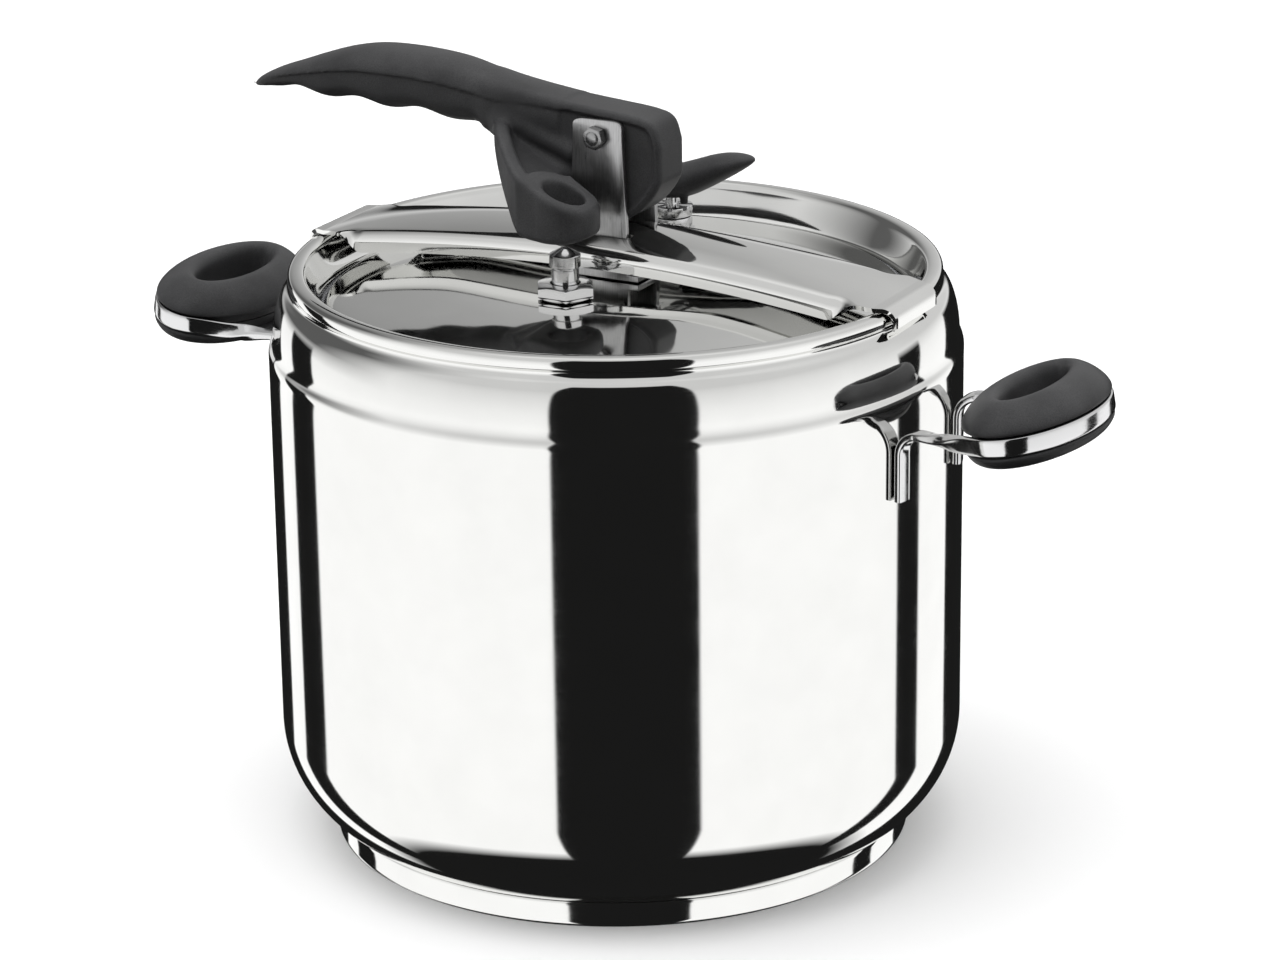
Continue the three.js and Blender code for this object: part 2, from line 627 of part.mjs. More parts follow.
for (const [side, turn] of [['right', 0], ['left', 180]]) {
  place(`handle_bracket_${side}`, bracket().rotate([0, 0, turn]), PLATED);
  place(`grip_upper_${side}`, gripUpper().rotate([0, 0, turn]), PHENOLIC);
  place(`grip_lower_${side}`, gripLower().rotate([0, 0, turn]), PHENOLIC);
  place(`grip_screw_inner_${side}`, gripScrew(SCREW_X[0]).rotate([0, 0, turn]), PLATED);
  place(`grip_screw_outer_${side}`, gripScrew(SCREW_X[1]).rotate([0, 0, turn]), PLATED);
}
place('bridge', bridge(), MIRROR_STEEL);

place('lid_disc', lidDisc(), MIRROR_STEEL);
place('lid_gasket', lidGasket(), SILICONE);
place('lever_yoke', leverYoke(), BRUSHED_STEEL);
place('yoke_stud', yokeStud(), PLATED);
place('yoke_washer', washer(3.5, 8, UNDER_LID - 1.4, UNDER_LID), PLATED);
place('yoke_nut', nut(10, 3.5, UNDER_LID - 6.8, UNDER_LID - 1.4 - GAP), PLATED);
place('pivot_bolt', pivotBolt(), PLATED);
place('pivot_nut', pivotNut(), PLATED);

place('lever_handle', leverHandle(), PHENOLIC);
place('lever_bush', leverBush(), PLATED);

place('safety_valve_body', safetyBody(), PLATED);
place('safety_valve_seal', washer(6.7, 9.6, UNDER_LID - 1.4, UNDER_LID, SAFETY_Y), SILICONE);
place('safety_valve_nut', nut(17, 6.7, 177.4, UNDER_LID - 1.4 - GAP, SAFETY_Y), PLATED);
place('safety_valve_pin', safetyPin(), PLATED);
place('safety_valve_spring', coil(0, SAFETY_Y, 163.6 + GAP, 176 - GAP, 5.45, 0.5, 4), BRUSHED_STEEL);

place('vent_valve_body', ventBody(), PLATED);
place('vent_valve_seal', washer(5.4, 8.6, UNDER_LID - 1.4, UNDER_LID, VENT_Y), SILICONE);
place('vent_valve_nut', nut(14, 5.4, 176.4, UNDER_LID - 1.4 - GAP, VENT_Y), PLATED);
place('vent_collar', ventCollar(), PLATED);
place('vent_spring', coil(0, VENT_Y, 188 + GAP, 192.9, 3.2, 0.4, 3), BRUSHED_STEEL);
place('vent_stem', ventStem(), PLATED);
place('vent_pivot_pin', rodY(1, VENT_Y - 6, VENT_Y + 6, 12, 0, VENT_PIN_Z), PLATED);
place('vent_lever', ventLever(), PHENOLIC);

export default cooker;
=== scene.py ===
# %% [markdown]
# # A stovetop pressure cooker
#
# The cooker's design is already settled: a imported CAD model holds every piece, its size and the
# joints that move it. This lesson gives that model its looks. Most pieces are turned, pressed or
# moulded, so each one is made again here as a fine mesh in the same place, and gets the finish
# of the real thing: mirror-polished steel, bright plating, brushed steel and black phenolic resin.

# %% Load the frame
import json
import math

import bmesh
import bpy
import numpy as np
from mathutils import Matrix, Vector


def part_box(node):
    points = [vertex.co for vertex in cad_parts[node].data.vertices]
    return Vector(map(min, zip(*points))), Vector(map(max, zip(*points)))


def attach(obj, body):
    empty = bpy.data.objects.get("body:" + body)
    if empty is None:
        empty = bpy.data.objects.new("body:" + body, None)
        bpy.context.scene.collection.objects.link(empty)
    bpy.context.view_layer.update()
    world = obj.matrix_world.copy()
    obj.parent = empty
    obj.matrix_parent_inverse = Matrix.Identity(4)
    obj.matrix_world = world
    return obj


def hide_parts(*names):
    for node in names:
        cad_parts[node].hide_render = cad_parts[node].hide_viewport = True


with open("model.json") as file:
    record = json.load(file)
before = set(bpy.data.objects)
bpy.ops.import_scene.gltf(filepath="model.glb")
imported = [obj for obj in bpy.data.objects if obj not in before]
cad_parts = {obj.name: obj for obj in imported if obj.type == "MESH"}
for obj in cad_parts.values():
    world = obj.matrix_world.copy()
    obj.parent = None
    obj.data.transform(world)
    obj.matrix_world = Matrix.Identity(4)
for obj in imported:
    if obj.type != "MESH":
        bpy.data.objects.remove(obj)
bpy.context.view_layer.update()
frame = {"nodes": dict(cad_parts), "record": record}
MM = 0.001
print("nodes in the frame:", len(frame["nodes"]))


# %% [markdown]
# ## Measuring the frame
#
# Every place comes from the CAD model, so that a piece lands where its node is. All sizes in
# this script are millimetres, as on a workshop drawing, and only the last step of making a mesh
# turns them into Blender's metres.

# %% Measures
def corners(node):
    """The lowest and highest corner of a CAD node, in millimetres."""
    low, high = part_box(node)
    return low / MM, high / MM


def middle(node):
    """The middle of a CAD node's box, in millimetres."""
    low, high = corners(node)
    return (low + high) / 2


shell_low, shell_high = corners("pot_shell")
cap_high = corners("base_cap")[1]
WALL_R = shell_high.x
RIM_TOP = shell_high.z
FLOOR_Z = shell_low.z
BASE_R = cap_high.x
BASE_H = cap_high.z
LID_TOP = corners("lid_disc")[1].z
PIVOT_Z = middle("pivot_nut").z
SAFETY_Y = middle("safety_valve_body").y
VENT_Y = middle("vent_valve_body").y
print("wall radius", round(WALL_R, 1), "rim height", round(RIM_TOP, 1), "pivot", round(PIVOT_Z, 1))


# %% [markdown]
# ## Small helpers
#
# Node trees are long to write out, so one function adds a node, gives it its settings and
# fills its inputs. An input that gets another node's output is linked, and any other value is
# typed into the socket. Colours are written as sRGB hex codes, and one function turns them into
# the linear numbers that a shader works with.

# %% Node and colour helpers
def add(tree, kind, inputs=None, out=0, **settings):
    """Adds a node, sets it up and links it, and returns one of its outputs."""
    node = tree.nodes.new(kind)
    for name, value in settings.items():
        setattr(node, name, value)
    for name, value in (inputs or {}).items():
        if isinstance(value, bpy.types.NodeSocket):
            tree.links.new(value, node.inputs[name])
        else:
            node.inputs[name].default_value = value
    return node.outputs[out] if len(node.outputs) else None


def linear(code):
    """An sRGB hex code as linear red, green, blue and alpha."""
    shares = [int(code[i:i + 2], 16) / 255 for i in (1, 3, 5)]
    return [s / 12.92 if s <= 0.04045 else ((s + 0.055) / 1.055) ** 2.4 for s in shares] + [1.0]


# %% [markdown]
# ## Finishes
#
# A polished metal is mostly what it reflects. What tells the eye that it is sheet steel and not
# glass is small: faint buffing lines that run round the pot, a slow waviness left by pressing,
# and a roughness that changes a little from place to place. The lines need a coordinate that
# runs round the axis without a seam, so the direction from the axis is used, not the angle.

# %% Coordinates round the axis
def round_axis(tree, around, along, centre=(0, 0, 0)):
    """Object coordinates stretched round the Z axis: slow round it, quick along it and outwards."""
    place = add(tree, "ShaderNodeTexCoord", out="Object")
    place = add(tree, "ShaderNodeVectorMath", {0: place, 1: Vector(centre) * MM}, operation="SUBTRACT")
    flat = add(tree, "ShaderNodeVectorMath", {0: place, 1: (1, 1, 0)}, operation="MULTIPLY")
    reach = add(tree, "ShaderNodeVectorMath", {0: flat}, out="Value", operation="LENGTH")
    heading = add(tree, "ShaderNodeVectorMath", {0: flat}, operation="NORMALIZE")
    heading = add(tree, "ShaderNodeVectorMath", {0: heading, "Scale": around}, operation="SCALE")
    height = add(tree, "ShaderNodeSeparateXYZ", {0: place}, out="Z")
    travel = add(tree, "ShaderNodeMath", {0: height, 1: reach}, operation="ADD")
    travel = add(tree, "ShaderNodeMath", {0: travel, 1: along / MM}, operation="MULTIPLY")
    lift = add(tree, "ShaderNodeCombineXYZ", {"Z": travel})
    return add(tree, "ShaderNodeVectorMath", {0: heading, 1: lift}, operation="ADD")


def start_material(name):
    """A new material and its empty tree."""
    material = bpy.data.materials.new(name)
    material.use_nodes = True
    material.node_tree.nodes.clear()
    return material, material.node_tree


# %% [markdown]
# ### Mirror-polished stainless steel
#
# Chrome-nickel steel sheet, deep-drawn and then buffed on a wheel. It is a metal with a low
# roughness. The buffing lines are about 0.4 mm apart, coarser than real ones, so that they show.
# The waviness has a wavelength of about 35 mm and is only some hundredths of a millimetre high.
# Bolts, nuts and valves are turned and then plated, so the same rule makes them: they are
# rougher, their turning lines are deeper, and the valves' lines run round the valves' own axes.

# %% Mirror-polished and plated steels
WAVE_LENGTH = 35.7
CLOUD_SIZE = 16.7


def turned_steel(name, tint, dark_tint, roughness, line_bump, wave_bump, centre=(0, 0, 0)):
    """Steel with buffing or turning lines round the Z axis through centre."""
    material, tree = start_material(name)
    lines = round_axis(tree, around=1.5, along=2.5, centre=centre)
    grain = add(tree, "ShaderNodeTexNoise", {"Vector": lines, "Scale": 1.0, "Detail": 3.0})
    place = add(tree, "ShaderNodeTexCoord", out="Object")
    waves = add(tree, "ShaderNodeTexNoise", {"Vector": place, "Detail": 1.0,
                                               "Scale": 1 / (WAVE_LENGTH * MM)})
    clouds = add(tree, "ShaderNodeTexNoise", {"Vector": place, "Detail": 4.0,
                                                "Scale": 1 / (CLOUD_SIZE * MM)})
    colour = add(tree, "ShaderNodeMix", {"Factor": clouds, 6: linear(dark_tint), 7: linear(tint)},
                 out=2, data_type="RGBA")
    worn = add(tree, "ShaderNodeMath", {0: clouds, 1: grain}, operation="MULTIPLY")
    rough = add(tree, "ShaderNodeMapRange", {"Value": worn, "From Min": 0.15, "From Max": 0.4,
                                             "To Min": roughness * 0.8, "To Max": roughness * 1.3})
    wavy = add(tree, "ShaderNodeBump", {"Height": waves, "Strength": 1.0, "Distance": wave_bump * MM})
    lined = add(tree, "ShaderNodeBump", {"Height": grain, "Normal": wavy, "Strength": 1.0,
                                         "Distance": line_bump * MM})
    steel = add(tree, "ShaderNodeBsdfPrincipled", {"Base Color": colour, "Roughness": rough,
                                                   "Normal": lined, "Metallic": 1.0})
    add(tree, "ShaderNodeOutputMaterial", {"Surface": steel})
    return material


polished_steel = turned_steel("polished stainless steel", "#ECECEA", "#E2E2E0", 0.055, 0.0006, 0.02)
plated_steel = turned_steel("bright plated steel", "#E4E4E4", "#D2D2D3", 0.13, 0.002, 0.004)
bolt_steel = turned_steel("dull plated bolt steel", "#B4B4B4", "#8E8E8F", 0.3, 0.004, 0.004)
safety_steel = turned_steel("turned and plated steel, safety valve", "#E6E6E6", "#D2D2D3", 0.14,
                            0.005, 0.002, centre=(0, SAFETY_Y, 0))
vent_steel = turned_steel("turned and plated steel, steam valve", "#DEDEDE", "#C8C8C9", 0.17,
                          0.004, 0.002, centre=(0, VENT_Y, 0))
for steel in (polished_steel, plated_steel, bolt_steel, safety_steel, vent_steel):
    print(steel.name, "nodes:", len(steel.node_tree.nodes))


# %% [markdown]
# ### Brushed and drawn steel
#
# The yoke is cut from plate that was brushed lengthways on a belt, which leaves a wavy grain
# along Z, about 0.3 mm wide. Spring wire is drawn through a die and keeps the same kind of fine
# lines, only darker. The aluminium core of the base is a plain pressed disc.

# %% Brushed metals
SWAY_LENGTH = 11.1
SWAY_SIZE = 1.2


def brushed_metal(name, tint, dark_tint, roughness, width, length, bump):
    """Metal with a wavy grain along Z, from the width and length of one stroke in millimetres."""
    material, tree = start_material(name)
    place = add(tree, "ShaderNodeTexCoord", out="Object")
    sway = add(tree, "ShaderNodeTexNoise", {"Vector": place, "Detail": 2.0,
                                              "Scale": 1 / (SWAY_LENGTH * MM)}, out="Color")
    sway = add(tree, "ShaderNodeVectorMath", {0: sway, "Scale": SWAY_SIZE * MM}, operation="SCALE")
    place = add(tree, "ShaderNodeVectorMath", {0: place, 1: sway}, operation="ADD")
    strokes = (1 / (width * MM), 1 / (width * MM), 1 / (length * MM))
    place = add(tree, "ShaderNodeVectorMath", {0: place, 1: strokes}, operation="MULTIPLY")
    grain = add(tree, "ShaderNodeTexNoise", {"Vector": place, "Scale": 1.0, "Detail": 4.0})
    colour = add(tree, "ShaderNodeMix", {"Factor": grain, 6: linear(dark_tint), 7: linear(tint)},
                 out=2, data_type="RGBA")
    rough = add(tree, "ShaderNodeMapRange", {"Value": grain, "To Min": roughness * 0.75,
                                             "To Max": roughness * 1.3})
    lined = add(tree, "ShaderNodeBump", {"Height": grain, "Strength": 1.0, "Distance": bump * MM})
    steel = add(tree, "ShaderNodeBsdfPrincipled", {"Base Color": colour, "Roughness": rough,
                                                   "Normal": lined, "Metallic": 1.0})
    add(tree, "ShaderNodeOutputMaterial", {"Surface": steel})
    return material


brushed_steel = brushed_metal("brushed stainless plate", "#D8D8D8", "#8E8E8F", 0.3, 0.3, 9.0, 0.01)
spring_steel = brushed_metal("drawn spring wire", "#B9B9BA", "#8A8A8B", 0.35, 0.2, 2.0, 0.004)
core_aluminium = brushed_metal("pressed aluminium", "#C4C5C7", "#A5A6A8", 0.5, 0.8, 0.8, 0.006)
for metal in (brushed_steel, spring_steel, core_aluminium):
    print(metal.name, "nodes:", len(metal.node_tree.nodes))


# %% [markdown]
# ### Black phenolic resin
#
# The lever, the grips and the thumb lever are compression-moulded from phenolic resin filled
# with wood flour. It is a deep grey-black that never shines: the sheen is broad and grey, and
# close up the filler shows as a very fine speckle, about 0.35 mm across. Its IOR is near 1.6.
# The seals are moulded silicone rubber, paler and rougher, with a coarser speckle.

# %% Black phenolic and silicone
PATCH_SIZE = 14.3


def moulded(name, tint, dark_tint, speckle, roughness, bump, ior, sheen):
    """A moulded resin or rubber with a speckle of the given size in millimetres."""
    material, tree = start_material(name)
    place = add(tree, "ShaderNodeTexCoord", out="Object")
    specks = add(tree, "ShaderNodeTexNoise", {"Vector": place, "Scale": 1 / (speckle * MM), "Detail": 2.0})
    patches = add(tree, "ShaderNodeTexNoise", {"Vector": place, "Detail": 3.0,
                                                 "Scale": 1 / (PATCH_SIZE * MM)})
    both = add(tree, "ShaderNodeMath", {0: specks, 1: patches}, operation="MULTIPLY")
    share = add(tree, "ShaderNodeMapRange", {"Value": both, "From Min": 0.12, "From Max": 0.4})
    colour = add(tree, "ShaderNodeMix", {"Factor": share, 6: linear(dark_tint), 7: linear(tint)},
                 out=2, data_type="RGBA")
    rough = add(tree, "ShaderNodeMapRange", {"Value": patches, "From Min": 0.3, "From Max": 0.7,
                                             "To Min": roughness * 0.9, "To Max": roughness * 1.12})
    pitted = add(tree, "ShaderNodeBump", {"Height": specks, "Strength": 1.0, "Distance": bump * MM})
    resin = add(tree, "ShaderNodeBsdfPrincipled", {"Base Color": colour, "Roughness": rough, "IOR": ior,
                                                   "Normal": pitted, "Specular IOR Level": sheen})
    add(tree, "ShaderNodeOutputMaterial", {"Surface": resin})
    return material


phenolic = moulded("black phenolic resin", "#4A4A4B", "#373738", 0.35, 0.42, 0.02, 1.6, 0.12)
silicone = moulded("grey silicone rubber", "#9C9DA0", "#86878A", 0.5, 0.6, 0.006, 1.41, 0.5)
for resin in (phenolic, silicone):
    print(resin.name, "nodes:", len(resin.node_tree.nodes))

FINISH_OF_SLOT = {
    "polished_steel": polished_steel,
    "plated_steel": plated_steel,
    "brushed_steel": brushed_steel,
    "spring_steel": spring_steel,
    "aluminium_core": core_aluminium,
    "phenolic": phenolic,
    "silicone": silicone,
}
for part in frame["record"]["subparts"]:
    node = frame["nodes"][part["node"]]
    node.data.materials.clear()
    node.data.materials.append(FINISH_OF_SLOT[part["material_slot"]])


# %% [markdown]
# ## Making a piece
#
# Every piece ends the same way. Its doubled points are merged, its faces are turned outwards,
# edges sharper than 32 degrees (more on a few soft pieces) stay crisp and the rest is shaded
# smooth. Then it gets its finish, rides on its body, and the CAD nodes whose place it takes are hidden.

# %% From points to a piece
SLOT_OF_NODE = {part["node"]: part["material_slot"] for part in frame["record"]["subparts"]}
BODY_OF_NODE = {
    name: body for body, names in frame["record"]["behaviour"]["bodies"].items() for name in names
}
pieces = []


def clean(mesh, sharp=32):
    """Merges doubled points, turns the faces outwards and keeps only the sharp edges crisp."""
    work = bmesh.new()
    work.from_mesh(mesh)
    bmesh.ops.remove_doubles(work, verts=work.verts, dist=0.002 * MM)
    bmesh.ops.dissolve_degenerate(work, edges=work.edges, dist=0.001 * MM)
    bmesh.ops.recalc_face_normals(work, faces=work.faces)
    work.to_mesh(mesh)
    work.free()
    mesh.shade_smooth()
    mesh.set_sharp_from_angle(angle=math.radians(sharp))


def from_points(name, points, faces):
    """An object whose mesh has these points, in millimetres, and faces."""
    mesh = bpy.data.meshes.new(name)
    mesh.from_pydata((np.asarray(points, float) * MM).tolist(), [], faces)
    piece = bpy.data.objects.new(name, mesh)
    bpy.context.scene.collection.objects.link(piece)
    return piece


def applied(piece):
    """The piece with its modifiers worked into a plain mesh."""
    bpy.context.view_layer.update()
    graph = bpy.context.evaluated_depsgraph_get()
    mesh = bpy.data.meshes.new_from_object(piece.evaluated_get(graph))
    piece.modifiers.clear()
    piece.data = mesh
    return piece


def fitted(piece, finish, *nodes, sharp=32):
    """Cleans a piece, gives it its finish and fits it in the place of these CAD nodes."""
    clean(piece.data, sharp)
    piece.data.materials.clear()
    piece.data.materials.append(finish)
    piece.data.polygons.foreach_set("material_index", [0] * len(piece.data.polygons))
    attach(piece, BODY_OF_NODE[nodes[0]])
    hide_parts(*nodes)
    pieces.append(piece)
    print(piece.name, "faces:", len(piece.data.polygons))
    return piece


def cut(piece, tool, operation="DIFFERENCE"):
    """Cuts or joins a closed piece with another closed piece, which is used up."""
    for part in (piece, tool):
        clean(part.data)
    change = piece.modifiers.new("cut", "BOOLEAN")
    change.operation = operation
    change.solver = "EXACT"
    change.object = tool
    applied(piece)
    bpy.data.objects.remove(tool)
    return piece


# %% [markdown]
# ## Turned pieces
#
# The pot, its base, the lid, washers and valve stems are all made on a lathe or pressed over a
# round tool, so one rule makes them all: a profile turned about the Z axis. That is a job for
# Geometry Nodes. The tree lays out a grid with one row for each profile point and one column
# for each step round the axis, samples the profile for every row, turns it by the column's
# angle, and merges the seam. The profile itself is drawn as a few corners that are then eased
# into curves, because polished steel shows every kink.

# %% The tree that turns a profile
def start_nodes(name, result, **inputs):
    """An empty Geometry Nodes tree with its named inputs and its one output."""
    tree = bpy.data.node_groups.new(name, "GeometryNodeTree")
    for title, kind in inputs.items():
        tree.interface.new_socket(title, in_out="INPUT", socket_type=f"NodeSocket{kind}")
    tree.interface.new_socket(result, in_out="OUTPUT", socket_type="NodeSocketGeometry")
    return tree


def turned_tree():
    """A Geometry Nodes tree that turns the modifier's own points about the Z axis."""
    tree = start_nodes("turned about Z", "Piece", Profile="Geometry", Sides="Int", Finish="Material")
    profile = add(tree, "NodeGroupInput")
    sides = profile.node.outputs["Sides"]
    finish = profile.node.outputs["Finish"]
    rows = add(tree, "GeometryNodeAttributeDomainSize", {"Geometry": profile}, out="Point Count")
    columns = add(tree, "ShaderNodeMath", {0: sides, 1: 1.0}, operation="ADD")
    grid = add(tree, "GeometryNodeMeshGrid", {"Vertices X": rows, "Vertices Y": columns})
    index = add(tree, "GeometryNodeInputIndex")
    row = add(tree, "ShaderNodeMath", {0: index, 1: columns}, operation="DIVIDE")
    row = add(tree, "ShaderNodeMath", {0: row}, operation="FLOOR")
    column = add(tree, "ShaderNodeMath", {0: index, 1: columns}, operation="MODULO")
    turn = add(tree, "ShaderNodeMath", {0: column, 1: sides}, operation="DIVIDE")
    turn = add(tree, "ShaderNodeMath", {0: turn, 1: 2 * math.pi}, operation="MULTIPLY")
    place = add(tree, "GeometryNodeInputPosition")
    place = add(tree, "GeometryNodeSampleIndex", {"Geometry": profile, "Value": place, "Index": row},
                data_type="FLOAT_VECTOR", domain="POINT")
    place = add(tree, "ShaderNodeVectorRotate", {"Vector": place, "Angle": turn}, rotation_type="Z_AXIS")
    skin = add(tree, "GeometryNodeSetPosition", {"Geometry": grid, "Position": place})
    skin = add(tree, "GeometryNodeMergeByDistance", {"Geometry": skin, "Distance": 0.002 * MM})
    skin = add(tree, "GeometryNodeRealizeInstances", {"Geometry": skin})
    skin = add(tree, "GeometryNodeSetMaterial", {"Geometry": skin, "Material": finish})
    add(tree, "NodeGroupOutput", {"Piece": skin})
    return tree


TURNED = turned_tree()


def nodes_modifier(piece, tree, **values):
    """Puts a Geometry Nodes tree on a piece and fills its named inputs."""
    change = piece.modifiers.new(tree.name, "NODES")
    change.node_group = tree
    for item in tree.interface.items_tree:
        if item.in_out == "INPUT" and item.name in values:
            change[item.identifier] = values[item.name]
    return piece


def turned(name, profile, finish, sides=160, at=(0, 0)):
    """A piece turned from [radius, height] corners, standing at a place in the XY plane."""
    points = [(r, 0, z) for r, z in profile]
    piece = from_points(name, points, [])
    applied(nodes_modifier(piece, TURNED, Sides=sides, Finish=finish))
    piece.data.transform(Matrix.Translation(Vector((*at, 0)) * MM))
    return piece


# %% Easing a profile
def eased(corners_list, reach=3.0, steps=5):
    """The corners of an open outline, each rounded off over at most this reach in millimetres."""
    corner = [np.array(point, float) for point in corners_list]
    line = [corner[0]]
    for before, here, after in zip(corner, corner[1:], corner[2:]):
        back, ahead = before - here, after - here
        first = here + back * min(0.5, reach / np.linalg.norm(back))
        last = here + ahead * min(0.5, reach / np.linalg.norm(ahead))
        for t in np.linspace(0, 1, steps):
            line.append((1 - t) ** 2 * first + 2 * t * (1 - t) * here + t * t * last)
    line.append(corner[-1])
    return [tuple(point) for point in line]


def arc(centre, radius, start, end, steps):
    """Points on an arc in the profile's plane, angles in degrees."""
    return [(centre[0] + radius * math.cos(a), centre[1] + radius * math.sin(a))
            for a in np.radians(np.linspace(start, end, steps))]


def tube_profile(bore, outer, low, high, reach, steps=3):
    """The closed outline of a plain tube or ring, its edges eased but for the one it starts from."""
    return eased([(bore, low), (outer, low), (outer, high), (bore, high), (bore, low)], reach, steps)


def smooth_step(value, start, end):
    """Nought below start, one above end, and a smooth climb between them."""
    share = np.clip((value - start) / (end - start), 0, 1)
    return share * share * (3 - 2 * share)


# %% [markdown]
# ### The pot
#
# One sheet makes the whole pot. It runs out over the base, turns up through a large radius into
# the straight wall, steps in at a small bead, swells into the shoulder, pinches below the rim,
# rolls over the rim and dives down a cone to the seat that the lid is drawn against.

# %% Pot body
CORNER_R = 36
CORNER_Z = FLOOR_Z + 31.05
SHEET = 1.5


def corner_arc(radius, steps):
    """The bend between the bottom and the wall."""
    centre = (WALL_R - CORNER_R, CORNER_Z)
    start = -math.degrees(math.acos((BASE_R + 0.6 - centre[0]) / CORNER_R))
    return arc(centre, radius, start, 0, steps)


def pot_profile():
    """The outline of the pot's sheet, up the outside and down the inside."""
    top = RIM_TOP
    foot = [(0, FLOOR_Z), (BASE_R - 2.1, FLOOR_Z), (BASE_R - 1.7, BASE_H + 0.4)]
    shoulder = [
        (WALL_R, top - 38), (WALL_R, top - 28.2), (WALL_R + 0.1, top - 25.6), (WALL_R - 1.3, top - 23.2),
        (WALL_R - 1.45, top - 19), (WALL_R - 2.3, top - 13.4), (WALL_R - 4.2, top - 8.2),
        (WALL_R - 7.0, top - 6.4), (WALL_R - 7.5, top - 4.9), (WALL_R - 6.6, top - 3.6),
        (WALL_R - 6.9, top - 0.6), (WALL_R - 9.7, top + 0.1), (WALL_R - 12, top - 0.3),
        (WALL_R - 13.2, top - 3), (WALL_R - 16.6, top - 9.6), (WALL_R - 17.1, top - 11.45),
    ]
    seat = [(WALL_R - 12.2, top - 11.45), (WALL_R - 12.2, top - 9.95), (WALL_R - 15.2, top - 9.95)]
    inside = [
        (WALL_R - 11.2, top - 3), (WALL_R - 9.6, top - 1.8), (WALL_R - 8.6, top - 3.5),
        (WALL_R - 8.9, top - 5.8), (WALL_R - 5.7, top - 8.8), (WALL_R - 3.9, top - 13.2),
        (WALL_R - 2.9, top - 19), (WALL_R - 2.7, top - 23), (WALL_R - 1.5, top - 26),
        (WALL_R - SHEET, top - 30),
    ]
    floor_top = [(BASE_R - 2.1, FLOOR_Z + SHEET), (0, FLOOR_Z + SHEET)]
    return (foot + corner_arc(CORNER_R, 28) + eased(shoulder, 3.0, 6) + seat + eased(inside, 3.0, 4)
            + corner_arc(CORNER_R - SHEET, 20)[::-1] + floor_top)


fitted(turned("pot_body", pot_profile(), polished_steel, 192), polished_steel, "pot_shell")


# %% [markdown]
# ### The base
#
# A cap of the same polished steel wraps the aluminium core. Its wall stands almost straight, a
# thin rounded lip closes it against the pot, and two shallow rings are pressed into its
# underside, which keep it flat when it gets hot.

# %% Base cap
def cap_profile():
    """The cap's outline: underside with its rings, outer wall, lip and inside."""
    under = [(0, 0.25), (20, 0.25), (21, 0), (38, 0), (39, 0.3), (41, 0.3), (42, 0), (66, 0), (67, 0.3),
             (69, 0.3), (70, 0), (BASE_R - 2.2, 0)]
    wall = [(BASE_R - 2.2, 0), (BASE_R, 0), (BASE_R, 3), (BASE_R, BASE_H), (BASE_R - 0.9, BASE_H),
            (BASE_R - 0.9, 2.4), (BASE_R - 2, 1), (BASE_R - 4, 0.9), (0, 0.9)]
    return eased(under, 0.4, 3) + eased(wall, 1.4, 5)


fitted(turned("base_disc_cap", cap_profile(), polished_steel, 192), polished_steel, "base_cap")


# %% [markdown]
# ### The lid
#
# The lid is a shallow pressed dish, flat in the middle where the yoke and the valves sit, and
# falling away to a step that the gasket hangs on. The gasket is a soft ring under that edge.

# %% Lid and gasket
def lid_profile():
    """The lid's outline, over the top and back under it."""
    top = LID_TOP
    upper = [(0, top), (40, top), (52, top - 0.3), (66, top - 2), (80, top - 4.3), (88, top - 5.9),
             (91.2, top - 6.9), (91.6, top - 9), (91.6, top - 12.4), (94, top - 12.6), (98.4, top - 12.6)]
    lower = [(98.4, top - 14), (91.6, top - 14), (90.3, top - 12.5), (90.1, top - 8.6), (85.6, top - 6.9),
             (75.6, top - 4.9), (59.6, top - 2.6), (43.8, top - 1.4), (0, top - 1.4)]
    return eased(upper, 6.0, 6) + eased(lower, 1.0, 3)


def gasket_profile():
    """The gasket's outline: a lip that presses up against the seat."""
    low, high = corners("lid_gasket")
    inner, outer = high.x - 5.8, high.x
    ring = [(inner, low.z + 2), (inner, low.z), (outer - 0.8, low.z), (outer, low.z + 1.5),
            (outer, high.z - 1), (outer - 1.5, high.z), (inner + 1.2, high.z), (inner, high.z - 1),
            (inner, low.z + 2)]
    return eased(ring, 0.7, 4)


fitted(turned("lid_plate", lid_profile(), polished_steel, 192), polished_steel, "lid_disc")
fitted(turned("lid_seal_ring", gasket_profile(), silicone, 128), silicone, "lid_gasket")


# %% [markdown]
# ## The bridge
#
# The bridge is one pressed strip: crowned across, arched lengthways, with its long sides bent
# down into flanges that stiffen it. Towards the rim the flanges run out, the strip narrows, and
# the ends hook down over the rolled rim. Its middle surface is worked out point by point, and
# the Solidify and Bevel modifiers give it its thickness and rounded edges. Two slots let the
# yoke's plates through.

# %% Bridge surface
BRIDGE_T = 1.4
bridge_low, bridge_high = corners("bridge")
CROWN_Z = bridge_high.z - BRIDGE_T / 2
RIM_LINE_R = WALL_R - 9.7
RIM_LINE_Z = RIM_TOP - 2.75
HOOK_R = RIM_TOP + 0.35 + BRIDGE_T / 2 - RIM_LINE_Z
BRIDGE_HALF = 18
CROWN_DROP = 3.4
EAR_Y = corners("lever_yoke")[1].y - 1
SLOT_X = 11.4
SLOT_HALF = 1.6
BEND_R = 3.7
FLANGE = 2.9
FLANGE_END = 95.5
FLANGE_FADE = 13
NARROW_FROM = 90
NARROW_LENGTH = 14.1


